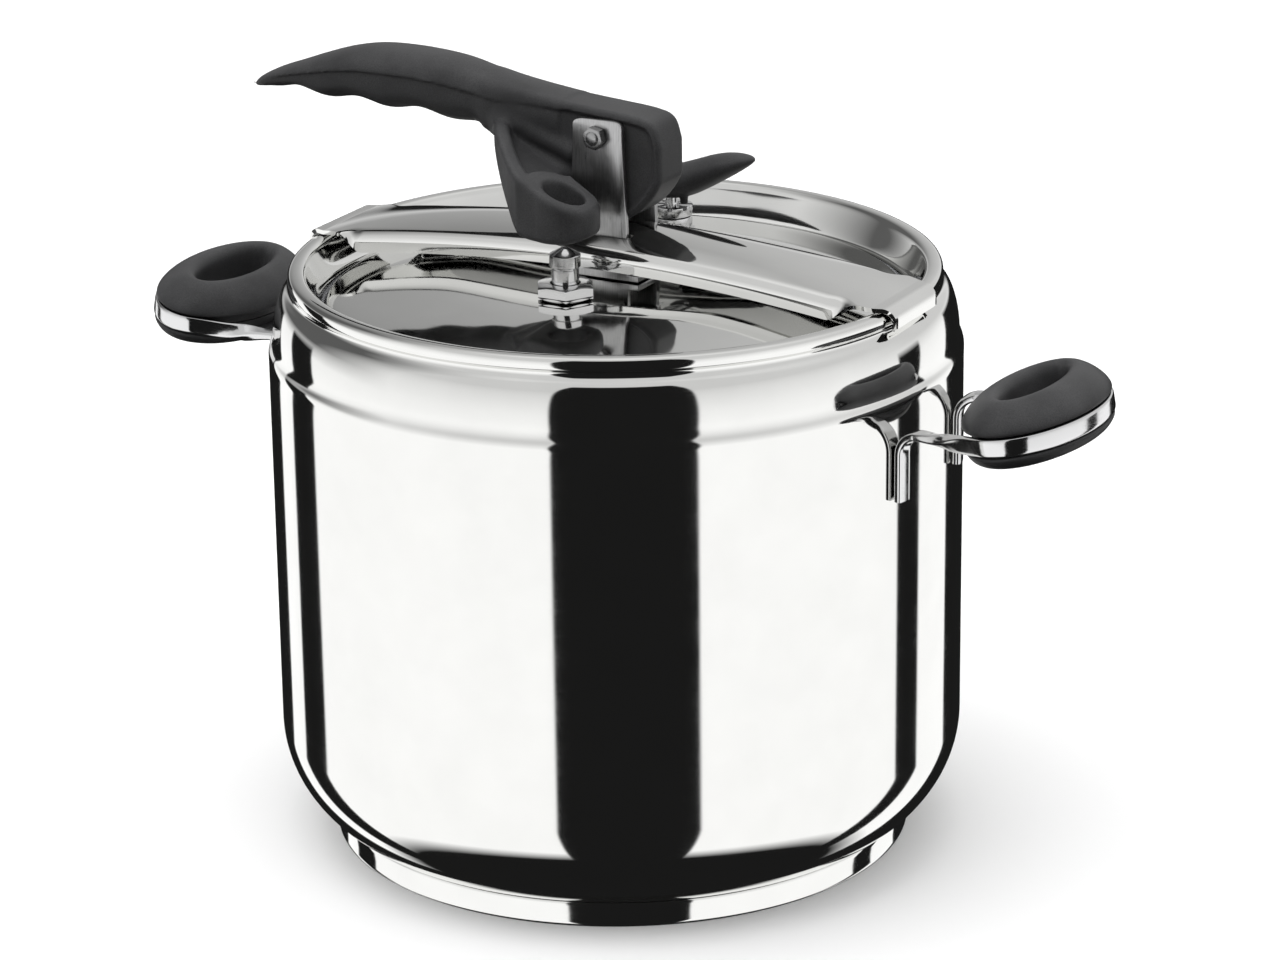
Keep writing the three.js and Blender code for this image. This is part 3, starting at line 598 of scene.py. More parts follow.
def bridge_path():
    """Stations along the bridge: place along X, crown's height, drop across, and fold of the flange."""
    stations = []
    reach = RIM_LINE_R - 2.3
    for x in sorted({*np.linspace(0, 80, 36).round(3), *np.linspace(80, reach, 34).round(3), SLOT_X}):
        share = (x / reach) ** 2
        crown = CROWN_Z + (RIM_LINE_Z + HOOK_R - CROWN_Z) * share
        stations.append((x, crown, CROWN_DROP * (1 - share), smooth_step(FLANGE_END - x, 0, FLANGE_FADE)))
    for angle in np.radians(np.linspace(6, 90, 15)):
        x, crown = RIM_LINE_R + HOOK_R * math.sin(angle), RIM_LINE_Z + HOOK_R * math.cos(angle)
        stations.append((x, crown, 0, 0))
    stations.append((RIM_LINE_R + HOOK_R, bridge_low.z + 0.1, 0, 0))
    return [(-x, z, drop, fold) for x, z, drop, fold in stations[:0:-1]] + stations


def bridge_section(crown, drop, fold):
    """Half of the strip's section: [y, z] from the middle over the bend and down the flange."""
    start = math.atan(2 * drop / 15.5)
    end = start + (math.radians(90) - start) * fold
    flange = FLANGE * fold + 0.02
    edge = BRIDGE_HALF - BEND_R * (math.sin(end) - math.sin(start)) - flange * math.cos(end)
    across = sorted({*np.linspace(0, edge, 15), EAR_Y - SLOT_HALF, EAR_Y + SLOT_HALF})
    line = [(y, crown - math.tan(start) * y * y / (2 * edge)) for y in across]
    y0, z0 = line[-1]
    for angle in np.linspace(start, end, 9)[1:]:
        line.append((y0 + BEND_R * (math.sin(angle) - math.sin(start)),
                     z0 - BEND_R * (math.cos(start) - math.cos(angle))))
    y0, z0 = line[-1]
    for share in (0.34, 0.67, 1):
        line.append((y0 + share * flange * math.cos(end), z0 - share * flange * math.sin(end)))
    return line


def bridge_piece():
    """The bridge's middle surface with its slots, given its thickness and rounded edges."""
    points, faces = [], []
    for x, crown, drop, fold in bridge_path():
        narrow = 1 - 0.2 * max((abs(x) - NARROW_FROM) / NARROW_LENGTH, 0) ** 2
        half = [(x, y * narrow, z) for y, z in bridge_section(crown, drop, fold)]
        points.append([(px, -py, pz) for px, py, pz in half[:0:-1]] + half)
    width = len(points[0])
    for i in range(len(points) - 1):
        for j in range(width - 1):
            corner_set = [points[a][b] for a, b in ((i, j), (i + 1, j), (i + 1, j + 1), (i, j + 1))]
            x, y, _ = np.mean(corner_set, axis=0)
            if abs(x) < SLOT_X and abs(abs(y) - EAR_Y) < SLOT_HALF:
                continue
            faces.append((i * width + j, (i + 1) * width + j, (i + 1) * width + j + 1, i * width + j + 1))
    piece = from_points("arched_bridge", [p for row in points for p in row], faces)
    thick = piece.modifiers.new("sheet", "SOLIDIFY")
    thick.thickness = BRIDGE_T * MM
    thick.offset = 0
    edges = piece.modifiers.new("rounded edges", "BEVEL")
    edges.width = 0.35 * MM
    edges.segments = 2
    edges.limit_method = "ANGLE"
    edges.angle_limit = math.radians(50)
    return applied(piece)


fitted(bridge_piece(), polished_steel, "bridge", sharp=55)


# %% [markdown]
# ## Lofted pieces
#
# The handle strips and the grips follow a path, so they are lofts: the same section is set at
# many stations along the path and the stations are joined by faces. A loft either closes on
# itself, as the ring of a grip does, or is closed at both ends.

# %% Loft
def loft(name, rings, joined=False):
    """A skin through rings of points. Open lofts are capped at both ends."""
    rings = np.asarray(rings, float)
    count, size = rings.shape[:2]
    spans = count if joined else count - 1
    faces = []
    for i in range(spans):
        here, there = i * size, ((i + 1) % count) * size
        faces += [(here + j, there + j, there + (j + 1) % size, here + (j + 1) % size) for j in range(size)]
    points = rings.reshape(-1, 3).tolist()
    if not joined:
        for start in (0, (count - 1) * size):
            points.append(np.mean(points[start:start + size], axis=0).tolist())
            faces += [(len(points) - 1, start + j, start + (j + 1) % size) for j in range(size)]
    return from_points(name, points, faces)


def spline(points, steps):
    """A smooth curve through points, with this many steps between each two."""
    points = np.asarray(points, float)
    padded = np.vstack([2 * points[0] - points[1], points, 2 * points[-1] - points[-2]])
    curve = []
    for a, b, c, d in zip(padded, padded[1:], padded[2:], padded[3:]):
        for t in np.arange(steps) / steps:
            curve.append(0.5 * (2 * b + (c - a) * t + (2 * a - 5 * b + 4 * c - d) * t ** 2
                                + (3 * b - a - 3 * c + d) * t ** 3))
    return np.array(curve + [points[-1]])


# %% [markdown]
# ## The side handles
#
# Each handle is a steel strip welded to the wall by its two legs. A leg climbs the wall lying
# flat, bends outwards and turns on edge, and then runs round the grip. The grip is a ring in two
# halves that close on the strip, and its outer end is raised by ten degrees. The left handle is
# the right one turned by half a turn.

# %% Handle strip
STRIP_W = 5.7
STRIP_T = 2.6
GRIP_A = 12.8
GRIP_B = 25.8
GRIP_TILT = math.radians(10)
STRIP_OUT = 6.5
strip_low, strip_high = corners("handle_bracket_right")
strip_reach = GRIP_A + STRIP_OUT + STRIP_T / 2
GRIP_X = strip_high.x - strip_reach * math.cos(GRIP_TILT) - 0.45
GRIP_Z = strip_high.z - strip_reach * math.sin(GRIP_TILT) - STRIP_W / 2 * math.cos(GRIP_TILT) + 0.25
LEG_ANGLE = math.radians(10.5)
TWIST_FROM = 116.0
TWIST_TO = 137.0
print("grip middle", round(GRIP_X, 2), round(GRIP_Z, 2))


def strip_path():
    """The strip's middle line from the foot of one leg to the outermost point of the grip."""
    leg_r = WALL_R + 0.45 + STRIP_T / 2
    bend, shoulder = 7, GRIP_Z - 3.6
    line = [(leg_r, z) for z in np.linspace(strip_low.z, shoulder - bend, 6)]
    line += [(leg_r + bend * (1 - math.cos(a)), shoulder - bend + bend * math.sin(a))
             for a in np.radians(np.linspace(15, 90, 6))]
    half = [(r * math.cos(LEG_ANGLE), -r * math.sin(LEG_ANGLE), z) for r, z in line]
    half += [(125, -23.6, shoulder + 0.1), (132.4, -26.6, GRIP_Z - 2.6)]
    for angle in np.radians(np.linspace(-109, 0, 18)):
        reach = (GRIP_A + STRIP_OUT) * math.cos(angle)
        half.append((GRIP_X + reach * math.cos(GRIP_TILT), (GRIP_B + STRIP_OUT) * math.sin(angle),
                     GRIP_Z + reach * math.sin(GRIP_TILT)))
    return np.array(half)


def strip_piece(name):
    """The strip as a loft of a rounded bar section that turns from flat to on edge."""
    half = strip_path()
    line = spline(np.vstack([half, half[-2::-1] * (1, -1, 1)]), 4)
    along = np.gradient(line, axis=0)
    along /= np.linalg.norm(along, axis=1)[:, None]
    rings = []
    corner_angles = np.linspace(0, 2 * math.pi, 20, endpoint=False) + math.pi / 20
    for point, forward in zip(line, along):
        turn = smooth_step(point[0], TWIST_FROM, TWIST_TO)
        swell = math.sin(math.pi * turn)
        side = -1 if point[1] < 0 else 1
        lying = np.array([side * math.sin(LEG_ANGLE), -math.cos(LEG_ANGLE), 0])
        upright = np.array([-math.sin(GRIP_TILT), 0, math.cos(GRIP_TILT)])
        wide = lying * (1 - turn) + upright * turn
        wide -= forward * wide.dot(forward)
        wide /= np.linalg.norm(wide)
        thick = np.cross(forward, wide)
        half_w, half_t = STRIP_W / 2 * (1 - 0.12 * swell), STRIP_T / 2 * (1 + 0.5 * swell)
        rings.append([
            point + wide * half_w * np.sign(math.cos(a)) * abs(math.cos(a)) ** 0.35
            + thick * half_t * np.sign(math.sin(a)) * abs(math.sin(a)) ** 0.55
            for a in corner_angles
        ])
    return loft(name, rings)


# %% Grip halves
SHELF = STRIP_OUT - STRIP_T / 2 - 0.35
LEDGE = STRIP_W / 2 + 0.35


def grip_half(name, section):
    """A section of [outward, height] pairs run round the oval and leaned back."""
    rings = []
    lean = np.array([[math.cos(GRIP_TILT), 0, -math.sin(GRIP_TILT)], [0, 1, 0],
                     [math.sin(GRIP_TILT), 0, math.cos(GRIP_TILT)]])
    for angle in np.linspace(0, 2 * math.pi, 96, endpoint=False):
        ring = [((GRIP_A + u) * math.cos(angle), (GRIP_B + u) * math.sin(angle), z) for u, z in section]
        rings.append(np.array(ring) @ lean.T + (GRIP_X, 0, GRIP_Z))
    return loft(name, rings, joined=True)


UPPER_SECTION = (
    eased([(SHELF, LEDGE), (7.3, LEDGE), (7.7, 4.6), (5.9, 7.4), (2.4, 10.4), (-1.4, 12.3), (-4.2, 12.1),
           (-5.9, 10.2), (-6.4, 6), (-6.6, 0.2)], 3.0, 7)
    + [(SHELF, 0.2)]
)
LOWER_SECTION = (
    eased([(SHELF, -LEDGE), (7.4, -LEDGE), (7.2, -4.6), (5.2, -6.9), (2.2, -7.6), (-2.8, -7.6), (-5.9, -6.6),
           (-6.7, -4), (-6.6, -0.2)], 3.0, 7)
    + [(SHELF, -0.2)]
)
HALF_TURN = Matrix.Rotation(math.pi, 4, "Z")
for side in ("right", "left"):
    strip = strip_piece(f"{side}_handle_strip")
    upper = grip_half(f"{side}_grip_top", UPPER_SECTION)
    lower = grip_half(f"{side}_grip_underside", LOWER_SECTION)
    if side == "left":
        for piece in (strip, upper, lower):
            piece.data.transform(HALF_TURN)
    fitted(strip, plated_steel, f"handle_bracket_{side}")
    fitted(upper, phenolic, f"grip_upper_{side}", sharp=50)
    fitted(lower, phenolic, f"grip_lower_{side}", sharp=50)


# %% [markdown]
# ### The grip screws
#
# Four small screws with a hexagon socket close the grips from below. They are all the same, so
# one screw is made, and a Geometry Nodes tree sets a copy of it on each of four points that
# carry the lean of their grip. Realize Instances turns the copies into real mesh.

# %% Screw tree
def screws_tree():
    """Sets the screw on every point of the modifier's own mesh, turned by the point's normal."""
    tree = start_nodes("screws on points", "Screws", Points="Geometry", Screw="Object", Finish="Material")
    points = add(tree, "NodeGroupInput")
    screw = add(tree, "GeometryNodeObjectInfo", {"Object": points.node.outputs["Screw"]}, out="Geometry")
    axis = add(tree, "GeometryNodeInputNamedAttribute", {"Name": "axis"}, data_type="FLOAT_VECTOR")
    facing = add(tree, "FunctionNodeAlignRotationToVector", {"Vector": axis}, axis="Z")
    copies = add(tree, "GeometryNodeInstanceOnPoints", {"Points": points, "Instance": screw,
                                                        "Rotation": facing})
    copies = add(tree, "GeometryNodeRealizeInstances", {"Geometry": copies})
    copies = add(tree, "GeometryNodeSetMaterial", {"Geometry": copies,
                                                   "Material": points.node.outputs["Finish"]})
    add(tree, "NodeGroupOutput", {"Screws": copies})
    return tree


def grip_screw():
    """A pan-head screw with a hexagon socket, its head down, about the origin."""
    screw = turned("grip_screw", eased([(0, -7.6), (2.2, -7.6), (2.9, -7.0), (2.9, -5.5), (1.3, -5.5),
                                        (1.3, 5), (0.8, 5.4), (0, 5.4)], 0.4, 3), plated_steel, 32)
    socket = turned("socket", [(0, -8), (1.2, -8), (1.2, -6.5), (0, -6.5)], plated_steel, 6)
    return cut(screw, socket)


def screw_points():
    """One point for each screw, with the direction of its grip's axis."""
    places, axes = [], []
    for side in (1, -1):
        for reach in (-GRIP_A, GRIP_A):
            x = GRIP_X + reach * math.cos(GRIP_TILT)
            places.append((side * x, 0, GRIP_Z + reach * math.sin(GRIP_TILT)))
            axes.append((-side * math.sin(GRIP_TILT), 0, math.cos(GRIP_TILT)))
    piece = from_points("grip_screws", places, [])
    axis = piece.data.attributes.new("axis", "FLOAT_VECTOR", "POINT")
    axis.data.foreach_set("vector", np.array(axes, np.float32).ravel())
    return piece


one_screw = grip_screw()
screws = applied(nodes_modifier(screw_points(), screws_tree(), Screw=one_screw, Finish=plated_steel))
bpy.data.objects.remove(one_screw)
fitted(screws, plated_steel, *[f"grip_screw_{end}_{side}" for side in ("right", "left")
                               for end in ("inner", "outer")])


# %% [markdown]
# ## Hexagons
#
# A hexagon nut or bolt head is a hexagon prism whose corners were turned off at 28 degrees, which
# leaves the curved edges that everyone knows. The rule is simple: at every angle the side is as
# far out as the flat there, and the top edge drops by how far the side stands out past a circle.

# %% Hexagon pieces
TURNED_SHARE = 0.97
TURNED_SLOPE = math.radians(28)


def hexagonal(name, across, low, high, bore=0.0, turn=0.0, both=False):
    """A nut or a bolt head about the Z axis, its corners turned off above, or on both sides."""
    angles = np.radians(np.arange(0, 360, 2.5))
    edge = across / 2 / np.cos((angles - math.radians(turn)) % (math.pi / 3) - math.pi / 6)
    circle = across / 2 * TURNED_SHARE
    drop = (edge - circle) * math.tan(TURNED_SLOPE)
    bottom = drop if both else 0

    def ring(radius, height):
        radius, height = np.broadcast_to(radius, angles.shape), np.broadcast_to(height, angles.shape)
        return np.stack([radius * np.cos(angles), radius * np.sin(angles), height], axis=1)

    rings = [ring(bore, low), ring(circle, low), ring(edge, low + bottom), ring(edge, high - drop),
             ring(circle, high), ring(bore, high)]
    return loft(name, rings, joined=True)


def moved(piece, y=0.0, z=0.0, along_y=False):
    """Sets a piece made about the Z axis in its place, laid along the Y axis if asked."""
    if along_y:
        piece.data.transform(Matrix.Rotation(math.radians(-90), 4, "X"))
    piece.data.transform(Matrix.Translation(Vector((0, y, z)) * MM))
    return piece


# %% [markdown]
# ### Nuts, washers and seals under the lid
#
# Three nuts hold the yoke and the valves from below, each on a washer or a seal. They are read
# straight from the frame: the box of each node says how large it is and where it sits.

# %% Nuts and rings under the lid
for node, bore in (("yoke_nut", 3.5), ("safety_valve_nut", 6.7), ("vent_valve_nut", 5.4)):
    low, high = corners(node)
    across = min(high.x - low.x, high.y - low.y)
    nut = hexagonal(f"hexagon_{node}", across, low.z, high.z, bore, both=True)
    fitted(moved(nut, y=middle(node).y), plated_steel, node)

for node, bore in (("yoke_washer", 3.5), ("safety_valve_seal", 6.7), ("vent_valve_seal", 5.4)):
    low, high = corners(node)
    profile = tube_profile(bore, (high.x - low.x) / 2, low.z, high.z, 0.3)
    finish = FINISH_OF_SLOT[SLOT_OF_NODE[node]]
    fitted(turned(f"round_{node}", profile, finish, 64, at=(0, middle(node).y)), finish, node)


# %% [markdown]
# ## The yoke and the pivot
#
# Two upright plates of brushed steel stand on the lid, pass through the bridge and carry the
# lever's bolt. They are cut from plate: straight sides that taper a little, round top corners
# and a fine broken edge. A foot joins them under the bridge, and a stud clamps it to the lid.

# %% Yoke plates
yoke_low, yoke_high = corners("lever_yoke")
PLATE_T = 2.0


def plate_outline():
    """Half of a plate's outline in the XZ plane, from the foot to the middle of its top."""
    base, top = yoke_low.z, yoke_high.z
    right = eased([(10.4, base), (9.8, base + 18), (8.7, top - 5), (8.75, top), (0, top)], 4.6, 9)
    return right + [(-x, z) for x, z in right[::-1][1:]]


def slab(name, outline, depth_from, depth_to, rounding):
    """An outline in the XZ plane pulled straight along Y, with rounded edges."""
    front = [(u, depth_from, v) for u, v in outline]
    back = [(u, depth_to, v) for u, v in outline]
    count = len(outline)
    faces = [tuple(range(count)), tuple(range(2 * count - 1, count - 1, -1))]
    faces += [(j, (j + 1) % count, count + (j + 1) % count, count + j) for j in range(count)]
    piece = from_points(name, front + back, faces)
    clean(piece.data)
    edges = piece.modifiers.new("broken edges", "BEVEL")
    edges.width = rounding * MM
    edges.segments = 2
    edges.limit_method = "ANGLE"
    edges.angle_limit = math.radians(40)
    return applied(piece)


def yoke_piece():
    """Both plates on their foot, with the bolt's bore through them."""
    foot = [(-14, yoke_low.z), (14, yoke_low.z), (14, yoke_low.z + 2), (-14, yoke_low.z + 2)]
    yoke = slab("yoke_plates", foot, yoke_low.y, yoke_high.y, 0.3)
    for y in (yoke_low.y, yoke_high.y - PLATE_T):
        cut(yoke, slab("plate", plate_outline(), y, y + PLATE_T, 0.25), "UNION")
    bore = turned("bore", [(0, -15), (2.9, -15), (2.9, 15), (0, 15)], brushed_steel, 48)
    return cut(yoke, moved(bore, z=PIVOT_Z, along_y=True))


fitted(yoke_piece(), brushed_steel, "lever_yoke")

stud_low, stud_high = corners("yoke_stud")
stud = hexagonal("yoke_stud_bolt", 10, LID_TOP + 2.75, stud_high.z)
shank = turned("shank", [(0, stud_low.z), (2.7, stud_low.z), (3.1, stud_low.z + 0.4), (3.1, LID_TOP + 4),
                         (0, LID_TOP + 4)], plated_steel, 48)
fitted(cut(stud, shank, "UNION"), plated_steel, "yoke_stud")


# %% Pivot bolt, nut and bush
bolt_low, bolt_high = corners("pivot_bolt")
BOLT_TURN = 12
head = hexagonal("pivot_hexagon_bolt", 6.4, bolt_low.y + 0.6, yoke_low.y - 0.35, turn=BOLT_TURN, both=True)
dome = turned("dome", eased([(0, bolt_low.y), (1.4, bolt_low.y + 0.1), (2.6, bolt_low.y + 0.7), (2.6, -12),
                             (0, -12)], 0.9, 6), bolt_steel, 64)
shank = turned("shank", eased([(0, -12), (2.5, -12), (2.5, bolt_high.y - 0.4), (2.1, bolt_high.y),
                               (0, bolt_high.y)], 0.3, 3), plated_steel, 48)
cut(head, dome, "UNION")
cut(head, shank, "UNION")
fitted(moved(head, z=PIVOT_Z, along_y=True), bolt_steel, "pivot_bolt")

nut_low, nut_high = corners("pivot_nut")
nut = hexagonal("pivot_hexagon_nut", 8, nut_low.y, nut_high.y, 2.9, turn=BOLT_TURN, both=True)
fitted(moved(nut, z=PIVOT_Z, along_y=True), plated_steel, "pivot_nut")

bush_low, bush_high = corners("lever_bush")
bush = turned("pivot_bush", tube_profile(2.9, 4.2, bush_low.y, bush_high.y, 0.2), plated_steel, 64)
fitted(moved(bush, z=PIVOT_Z, along_y=True), plated_steel, "lever_bush")


# %% [markdown]
# ## The lever
#
# The lever is one compression moulding, and nothing on it is flat or sharp: a finger grip, a
# heel that is a cam, and an arm that sweeps down into a ring over the safety valve. Such a shape
# is hard to build from faces. It is easy to write down as a distance: for every point in space,
# how far it is from each simple form, with minus inside. Joining two forms is the smaller of two
# distances, and blending that minimum over a few millimetres gives the fillets of a mould. The
# skin is then drawn where the distance passes zero, one point in each cell that the skin crosses.

# %% Distances
def outline_distance(outline, u, v):
    """The signed distance of points (u, v) from a closed outline, minus inside."""
    nearest = np.full(u.shape, 1e9)
    inside = np.zeros(u.shape, bool)
    outline = np.asarray(outline, float)
    for (au, av), (bu, bv) in zip(outline, np.roll(outline, -1, axis=0)):
        du, dv = bu - au, bv - av
        if abs(du) + abs(dv) < 1e-6:
            continue
        t = np.clip(((u - au) * du + (v - av) * dv) / (du * du + dv * dv), 0, 1)
        nearest = np.minimum(nearest, np.hypot(u - au - t * du, v - av - t * dv))
        if dv != 0:
            crosses = (av > v) != (bv > v)
            inside ^= crosses & (u < du * (v - av) / dv + au)
    return np.where(inside, -nearest, nearest)


def joined(a, b, blend):
    """Two forms as one, with a fillet of about this size where they meet."""
    share = np.clip(0.5 + 0.5 * (b - a) / blend, 0, 1)
    return b + (a - b) * share - blend * share * (1 - share)


def shared(a, b, rounding):
    """What two forms have in common, its edges rounded."""
    corner = np.hypot(np.maximum(a + rounding, 0), np.maximum(b + rounding, 0))
    return np.minimum(np.maximum(a, b), -rounding) + corner


def taken_out(a, b, rounding):
    """A form with another one taken out of it, the new edges rounded."""
    return shared(a, -b, rounding)


# %% Skin
def skin(name, field, origin, step):
    """A mesh where the field passes zero: a point in each mixed cell, a face for each crossed edge."""
    inside = field < 0
    size = np.array(field.shape) - 1
    cube = [(i, j, k) for i in (0, 1) for j in (0, 1) for k in (0, 1)]
    full = sum(inside[i:size[0] + i, j:size[1] + j, k:size[2] + k].astype(int) for i, j, k in cube)
    cells = np.argwhere((full > 0) & (full < 8))
    number = np.full(size, -1)
    number[tuple(cells.T)] = np.arange(len(cells))
    total, hits = np.zeros((len(cells), 3)), np.zeros(len(cells))
    for a in cube:
        for b in cube:
            if sum(b) - sum(a) == 1 and sum(abs(p - q) for p, q in zip(a, b)) == 1:
                first, last = field[tuple((cells + a).T)], field[tuple((cells + b).T)]
                crossed = (first < 0) != (last < 0)
                share = np.where(crossed, first / np.where(crossed, first - last, 1), 0)
                spot = np.array(a) + share[:, None] * (np.array(b) - a)
                total += np.where(crossed[:, None], spot, 0)
                hits += crossed
    points = np.asarray(origin) + step * (cells + total / hits[:, None])
    faces = []
    for axis in range(3):
        one = np.eye(3, dtype=int)
        u, v = one[(axis + 1) % 3], one[(axis + 2) % 3]
        here = inside[tuple(slice(0, n) for n in size)]
        ahead = inside[tuple(slice(one[axis][n], size[n] + one[axis][n]) for n in range(3))]
        found = np.argwhere(here != ahead)
        found = found[((found - u - v) >= 0).all(axis=1)]
        quads = np.stack([number[tuple((found - shift).T)] for shift in (0 * u, u, u + v, v)], axis=1)
        faces += quads[(quads >= 0).all(axis=1)].tolist()
    piece = from_points(name, points, faces)
    relax = piece.modifiers.new("relax", "SMOOTH")
    relax.factor = 0.5
    relax.iterations = 2
    return applied(piece)


def space(low, high, step):
    """The coordinates of a box of cells, and its lowest corner."""
    axes = [np.arange(a, b + step, step) for a, b in zip(low, high)]
    return np.meshgrid(*axes, indexing="ij"), np.array(low, float)


# %% [markdown]
# ### The lever's forms
#
# - The heel is a flat body with rounded edges, 16.4 mm wide so that it swings between the yoke's
#   plates. Its underside is the cam: its reach below the pivot shrinks evenly as the lever
#   swings. Its side is set back a little inside a raised lip.
# - The grip is an oval that swells and thins along the lever, with scallops for the fingers, and
#   is a little narrower below an edge that runs along its side.
# - The arm is what a side view and a top view have in common, scooped out above, with a ring
#   for the safety valve at its end.
# - A rib runs down the side from the neck to the yoke.

# %% Heel
LEVER_HALF = 8.2
CAM_DROP = 7.5
CAM_SWING = math.radians(95)
HEEL_BACK = 20.6


def cam_points(steps=24):
    """The cam from the heel's back to the point under the pivot."""
    reach0 = PIVOT_Z - bridge_high.z - 0.35
    slope = -CAM_DROP / CAM_SWING
    line = []
    for angle in np.linspace(math.pi / 2, 0, steps):
        reach = reach0 + slope * angle
        x = reach * math.sin(angle) + slope * math.cos(angle)
        line.append((min(x, HEEL_BACK), PIVOT_Z - reach * math.cos(angle) + slope * math.sin(angle)))
    return line


def heel_outline():
    """The heel seen from the side: top, back, cam, and the underside up to the neck."""
    p = PIVOT_Z
    top = eased([(-42, p + 11.2), (-26, p + 10.4), (-12, p + 8.8), (2, p + 7.7), (12, p + 6.9),
                 (18.6, p + 5.2), (HEEL_BACK, p - 2)], 7.0, 7)
    under = [(-11, p - 28.6), (-20, p - 21.2), (-29, p - 12.2), (-42, p - 2)]
    return top + cam_points()[1:] + under


def heel_form(x, y, z):
    """The heel with its lip, the set-back side and the pivot's bore."""
    profile = outline_distance(heel_outline(), x[:, 0], z[:, 0])[:, None, :]
    body = shared(profile + 0 * y, np.abs(y) - LEVER_HALF, 1.6)
    depth = 0.9 * smooth_step(x, -46, -22)
    panel = shared(profile + 2.6, LEVER_HALF - depth - np.abs(y), 0.4)
    return taken_out(body, panel, 0.5)


# %% Grip
GRIP_STATIONS = [
    # x, middle above the pivot, half width, half height
    (-16, 2.2, 6.6, 5.6), (-24, 2.8, 7.6, 6.6), (-34, 4.4, 8.9, 8.0), (-45, 6.2, 10.8, 9.2),
    (-56, 8.1, 12, 9.5), (-70, 9.1, 12.5, 9.6), (-84, 9.3, 12.5, 9.2), (-95, 8.6, 12, 8.0),
    (-105, 7.3, 11, 6.2), (-114, 6.0, 9.8, 4.2), (-122, 4.3, 8, 3.0), (-128, 2.4, 5.4, 1.9),
    (-131.2, 1.0, 2.4, 0.9), (-132.2, 0.5, 0.4, 0.3),
]
FINGER_PITCH = 23.0
SCALLOP = 0.9
OVAL_POWER = 2.35


def grip_form(x, y, z):
    """The finger grip: a flattened oval with scallops underneath."""
    line = spline(GRIP_STATIONS, 10)[::-1]
    place, half_w, half_h = [np.interp(x, line[:, 0], line[:, i]) for i in (1, 2, 3)]
    held = smooth_step(-x, 36, 50) * smooth_step(x, -126, -110)
    wave = np.cos(2 * math.pi * (x + 101.7) / FINGER_PITCH)
    lift = z - PIVOT_Z - place
    half_h = np.where(lift < 0, half_h + SCALLOP * held * wave, half_h)
    tucked = smooth_step(-x, 30, 44) * smooth_step(x, -127, -118) * smooth_step(0.3 * half_h - lift, 0, 0.6)
    half_w = half_w - 1.1 * tucked
    size = ((np.abs(y) / half_w) ** OVAL_POWER + (np.abs(lift) / half_h) ** OVAL_POWER) ** (1 / OVAL_POWER)
    return (size - 1) * np.minimum(half_w, half_h)


# %% Arm, ring and rib
RING_R = 11.2
HOLE_R = 6.4
BORE_R = 4.6


def arm_form(x, y, z):
    """The arm and the ring, from its side view and its top view, with the hollow behind its ridge."""
    p = PIVOT_Z
    side_view = eased([
        (-40, p + 2), (-31, p + 1.1), (-24, p - 0.6), (-14, p - 6.4), (-7, p - 9.4), (7, p - 15.2),
        (11.6, p - 17), (11.4, p - 24), (8.4, p - 26.4), (0, p - 26.7), (-10, p - 26.7), (-14.5, p - 25),
        (-19.6, p - 18), (-27, p - 10.5), (-33, p - 5.4), (-40, p - 3)], 4.0, 5)
    ring = [(RING_R * math.cos(a), SAFETY_Y + RING_R * math.sin(a))
            for a in np.radians(np.arange(-115, 58, 9))]
    outer = eased([(-40, -5), (-35.5, -13), (-31.5, -20), (-25.5, -28), (-19, -35), (-12, -40.5)], 5, 4)
    inner = eased([(6, -22.2), (-4, -19.6), (-10, -15.6), (-12.4, -11), (-12.4, -5)], 4, 4)
    side = outline_distance(side_view, x[:, 0], z[:, 0])[:, None, :]
    top = outline_distance(outer[1:] + ring + inner[1:], x[:, :, 0], y[:, :, 0])[:, :, None]
    arm = shared(side + 0 * y, top + 0 * z, 1.8)
    hollow = [(-33, -2), (-31, -11), (-26.6, -17.6), (-21.2, -24.4), (-15.4, -30), (-10, -34), (-6, -28),
              (-6, -16), (-10, -9), (-10, -2)]
    plan = np.maximum(outline_distance(hollow, x[:, :, 0], y[:, :, 0])[:, :, None],
                      RING_R + 1.4 - np.hypot(x, y - SAFETY_Y))
    ground = p + np.interp(x, [-36, -31, -24, -14, -6], [1.5, -3.4, -7.6, -12.4, -15.2])
    return taken_out(arm, shared(plan + 0 * z, ground - z, 2.4), 2.0)


def capsule(x, y, z, start, end, radius):
    """A round bar between two points."""
    start, along = np.array(start, float), np.subtract(end, start)
    share = sum((c - s) * a for c, s, a in zip((x, y, z), start, along)) / along.dot(along)
    share = np.clip(share, 0, 1)
    return np.sqrt(sum((c - s - share * a) ** 2 for c, s, a in zip((x, y, z), start, along))) - radius


def lever_form(x, y, z):
    """The whole lever as one distance."""
    p = PIVOT_Z
    lever = joined(heel_form(x, y, z), np.maximum(grip_form(x, y, z), x + 17), 5.0)
    lever = joined(lever, arm_form(x, y, z), 4.0)
    rib = capsule(x, y, z, (-37, -6.6, p + 2.0), (-11.2, -6.6, p - 7.2), 2.5)
    lever = joined(lever, rib, 2.4)
    lever = taken_out(lever, np.hypot(x, y - SAFETY_Y) - HOLE_R, 1.1)
    return taken_out(lever, np.hypot(x, z - p) - BORE_R, 0.2)


LEVER_STEP = 0.6
(gx, gy, gz), lever_origin = space((-134, -46, 199), (24, 15, 252), LEVER_STEP)
lever = skin("camming_lever", lever_form(gx, gy, gz), lever_origin, LEVER_STEP)
fitted(lever, phenolic, "lever_handle", sharp=70)


# %% [markdown]
# ## The safety valve
#
# A hexagon body is screwed through the lid, and a slotted pin stands in its bore with a hair of
# clearance. When the pressure gets too high the pin rises towards the lever's ring.

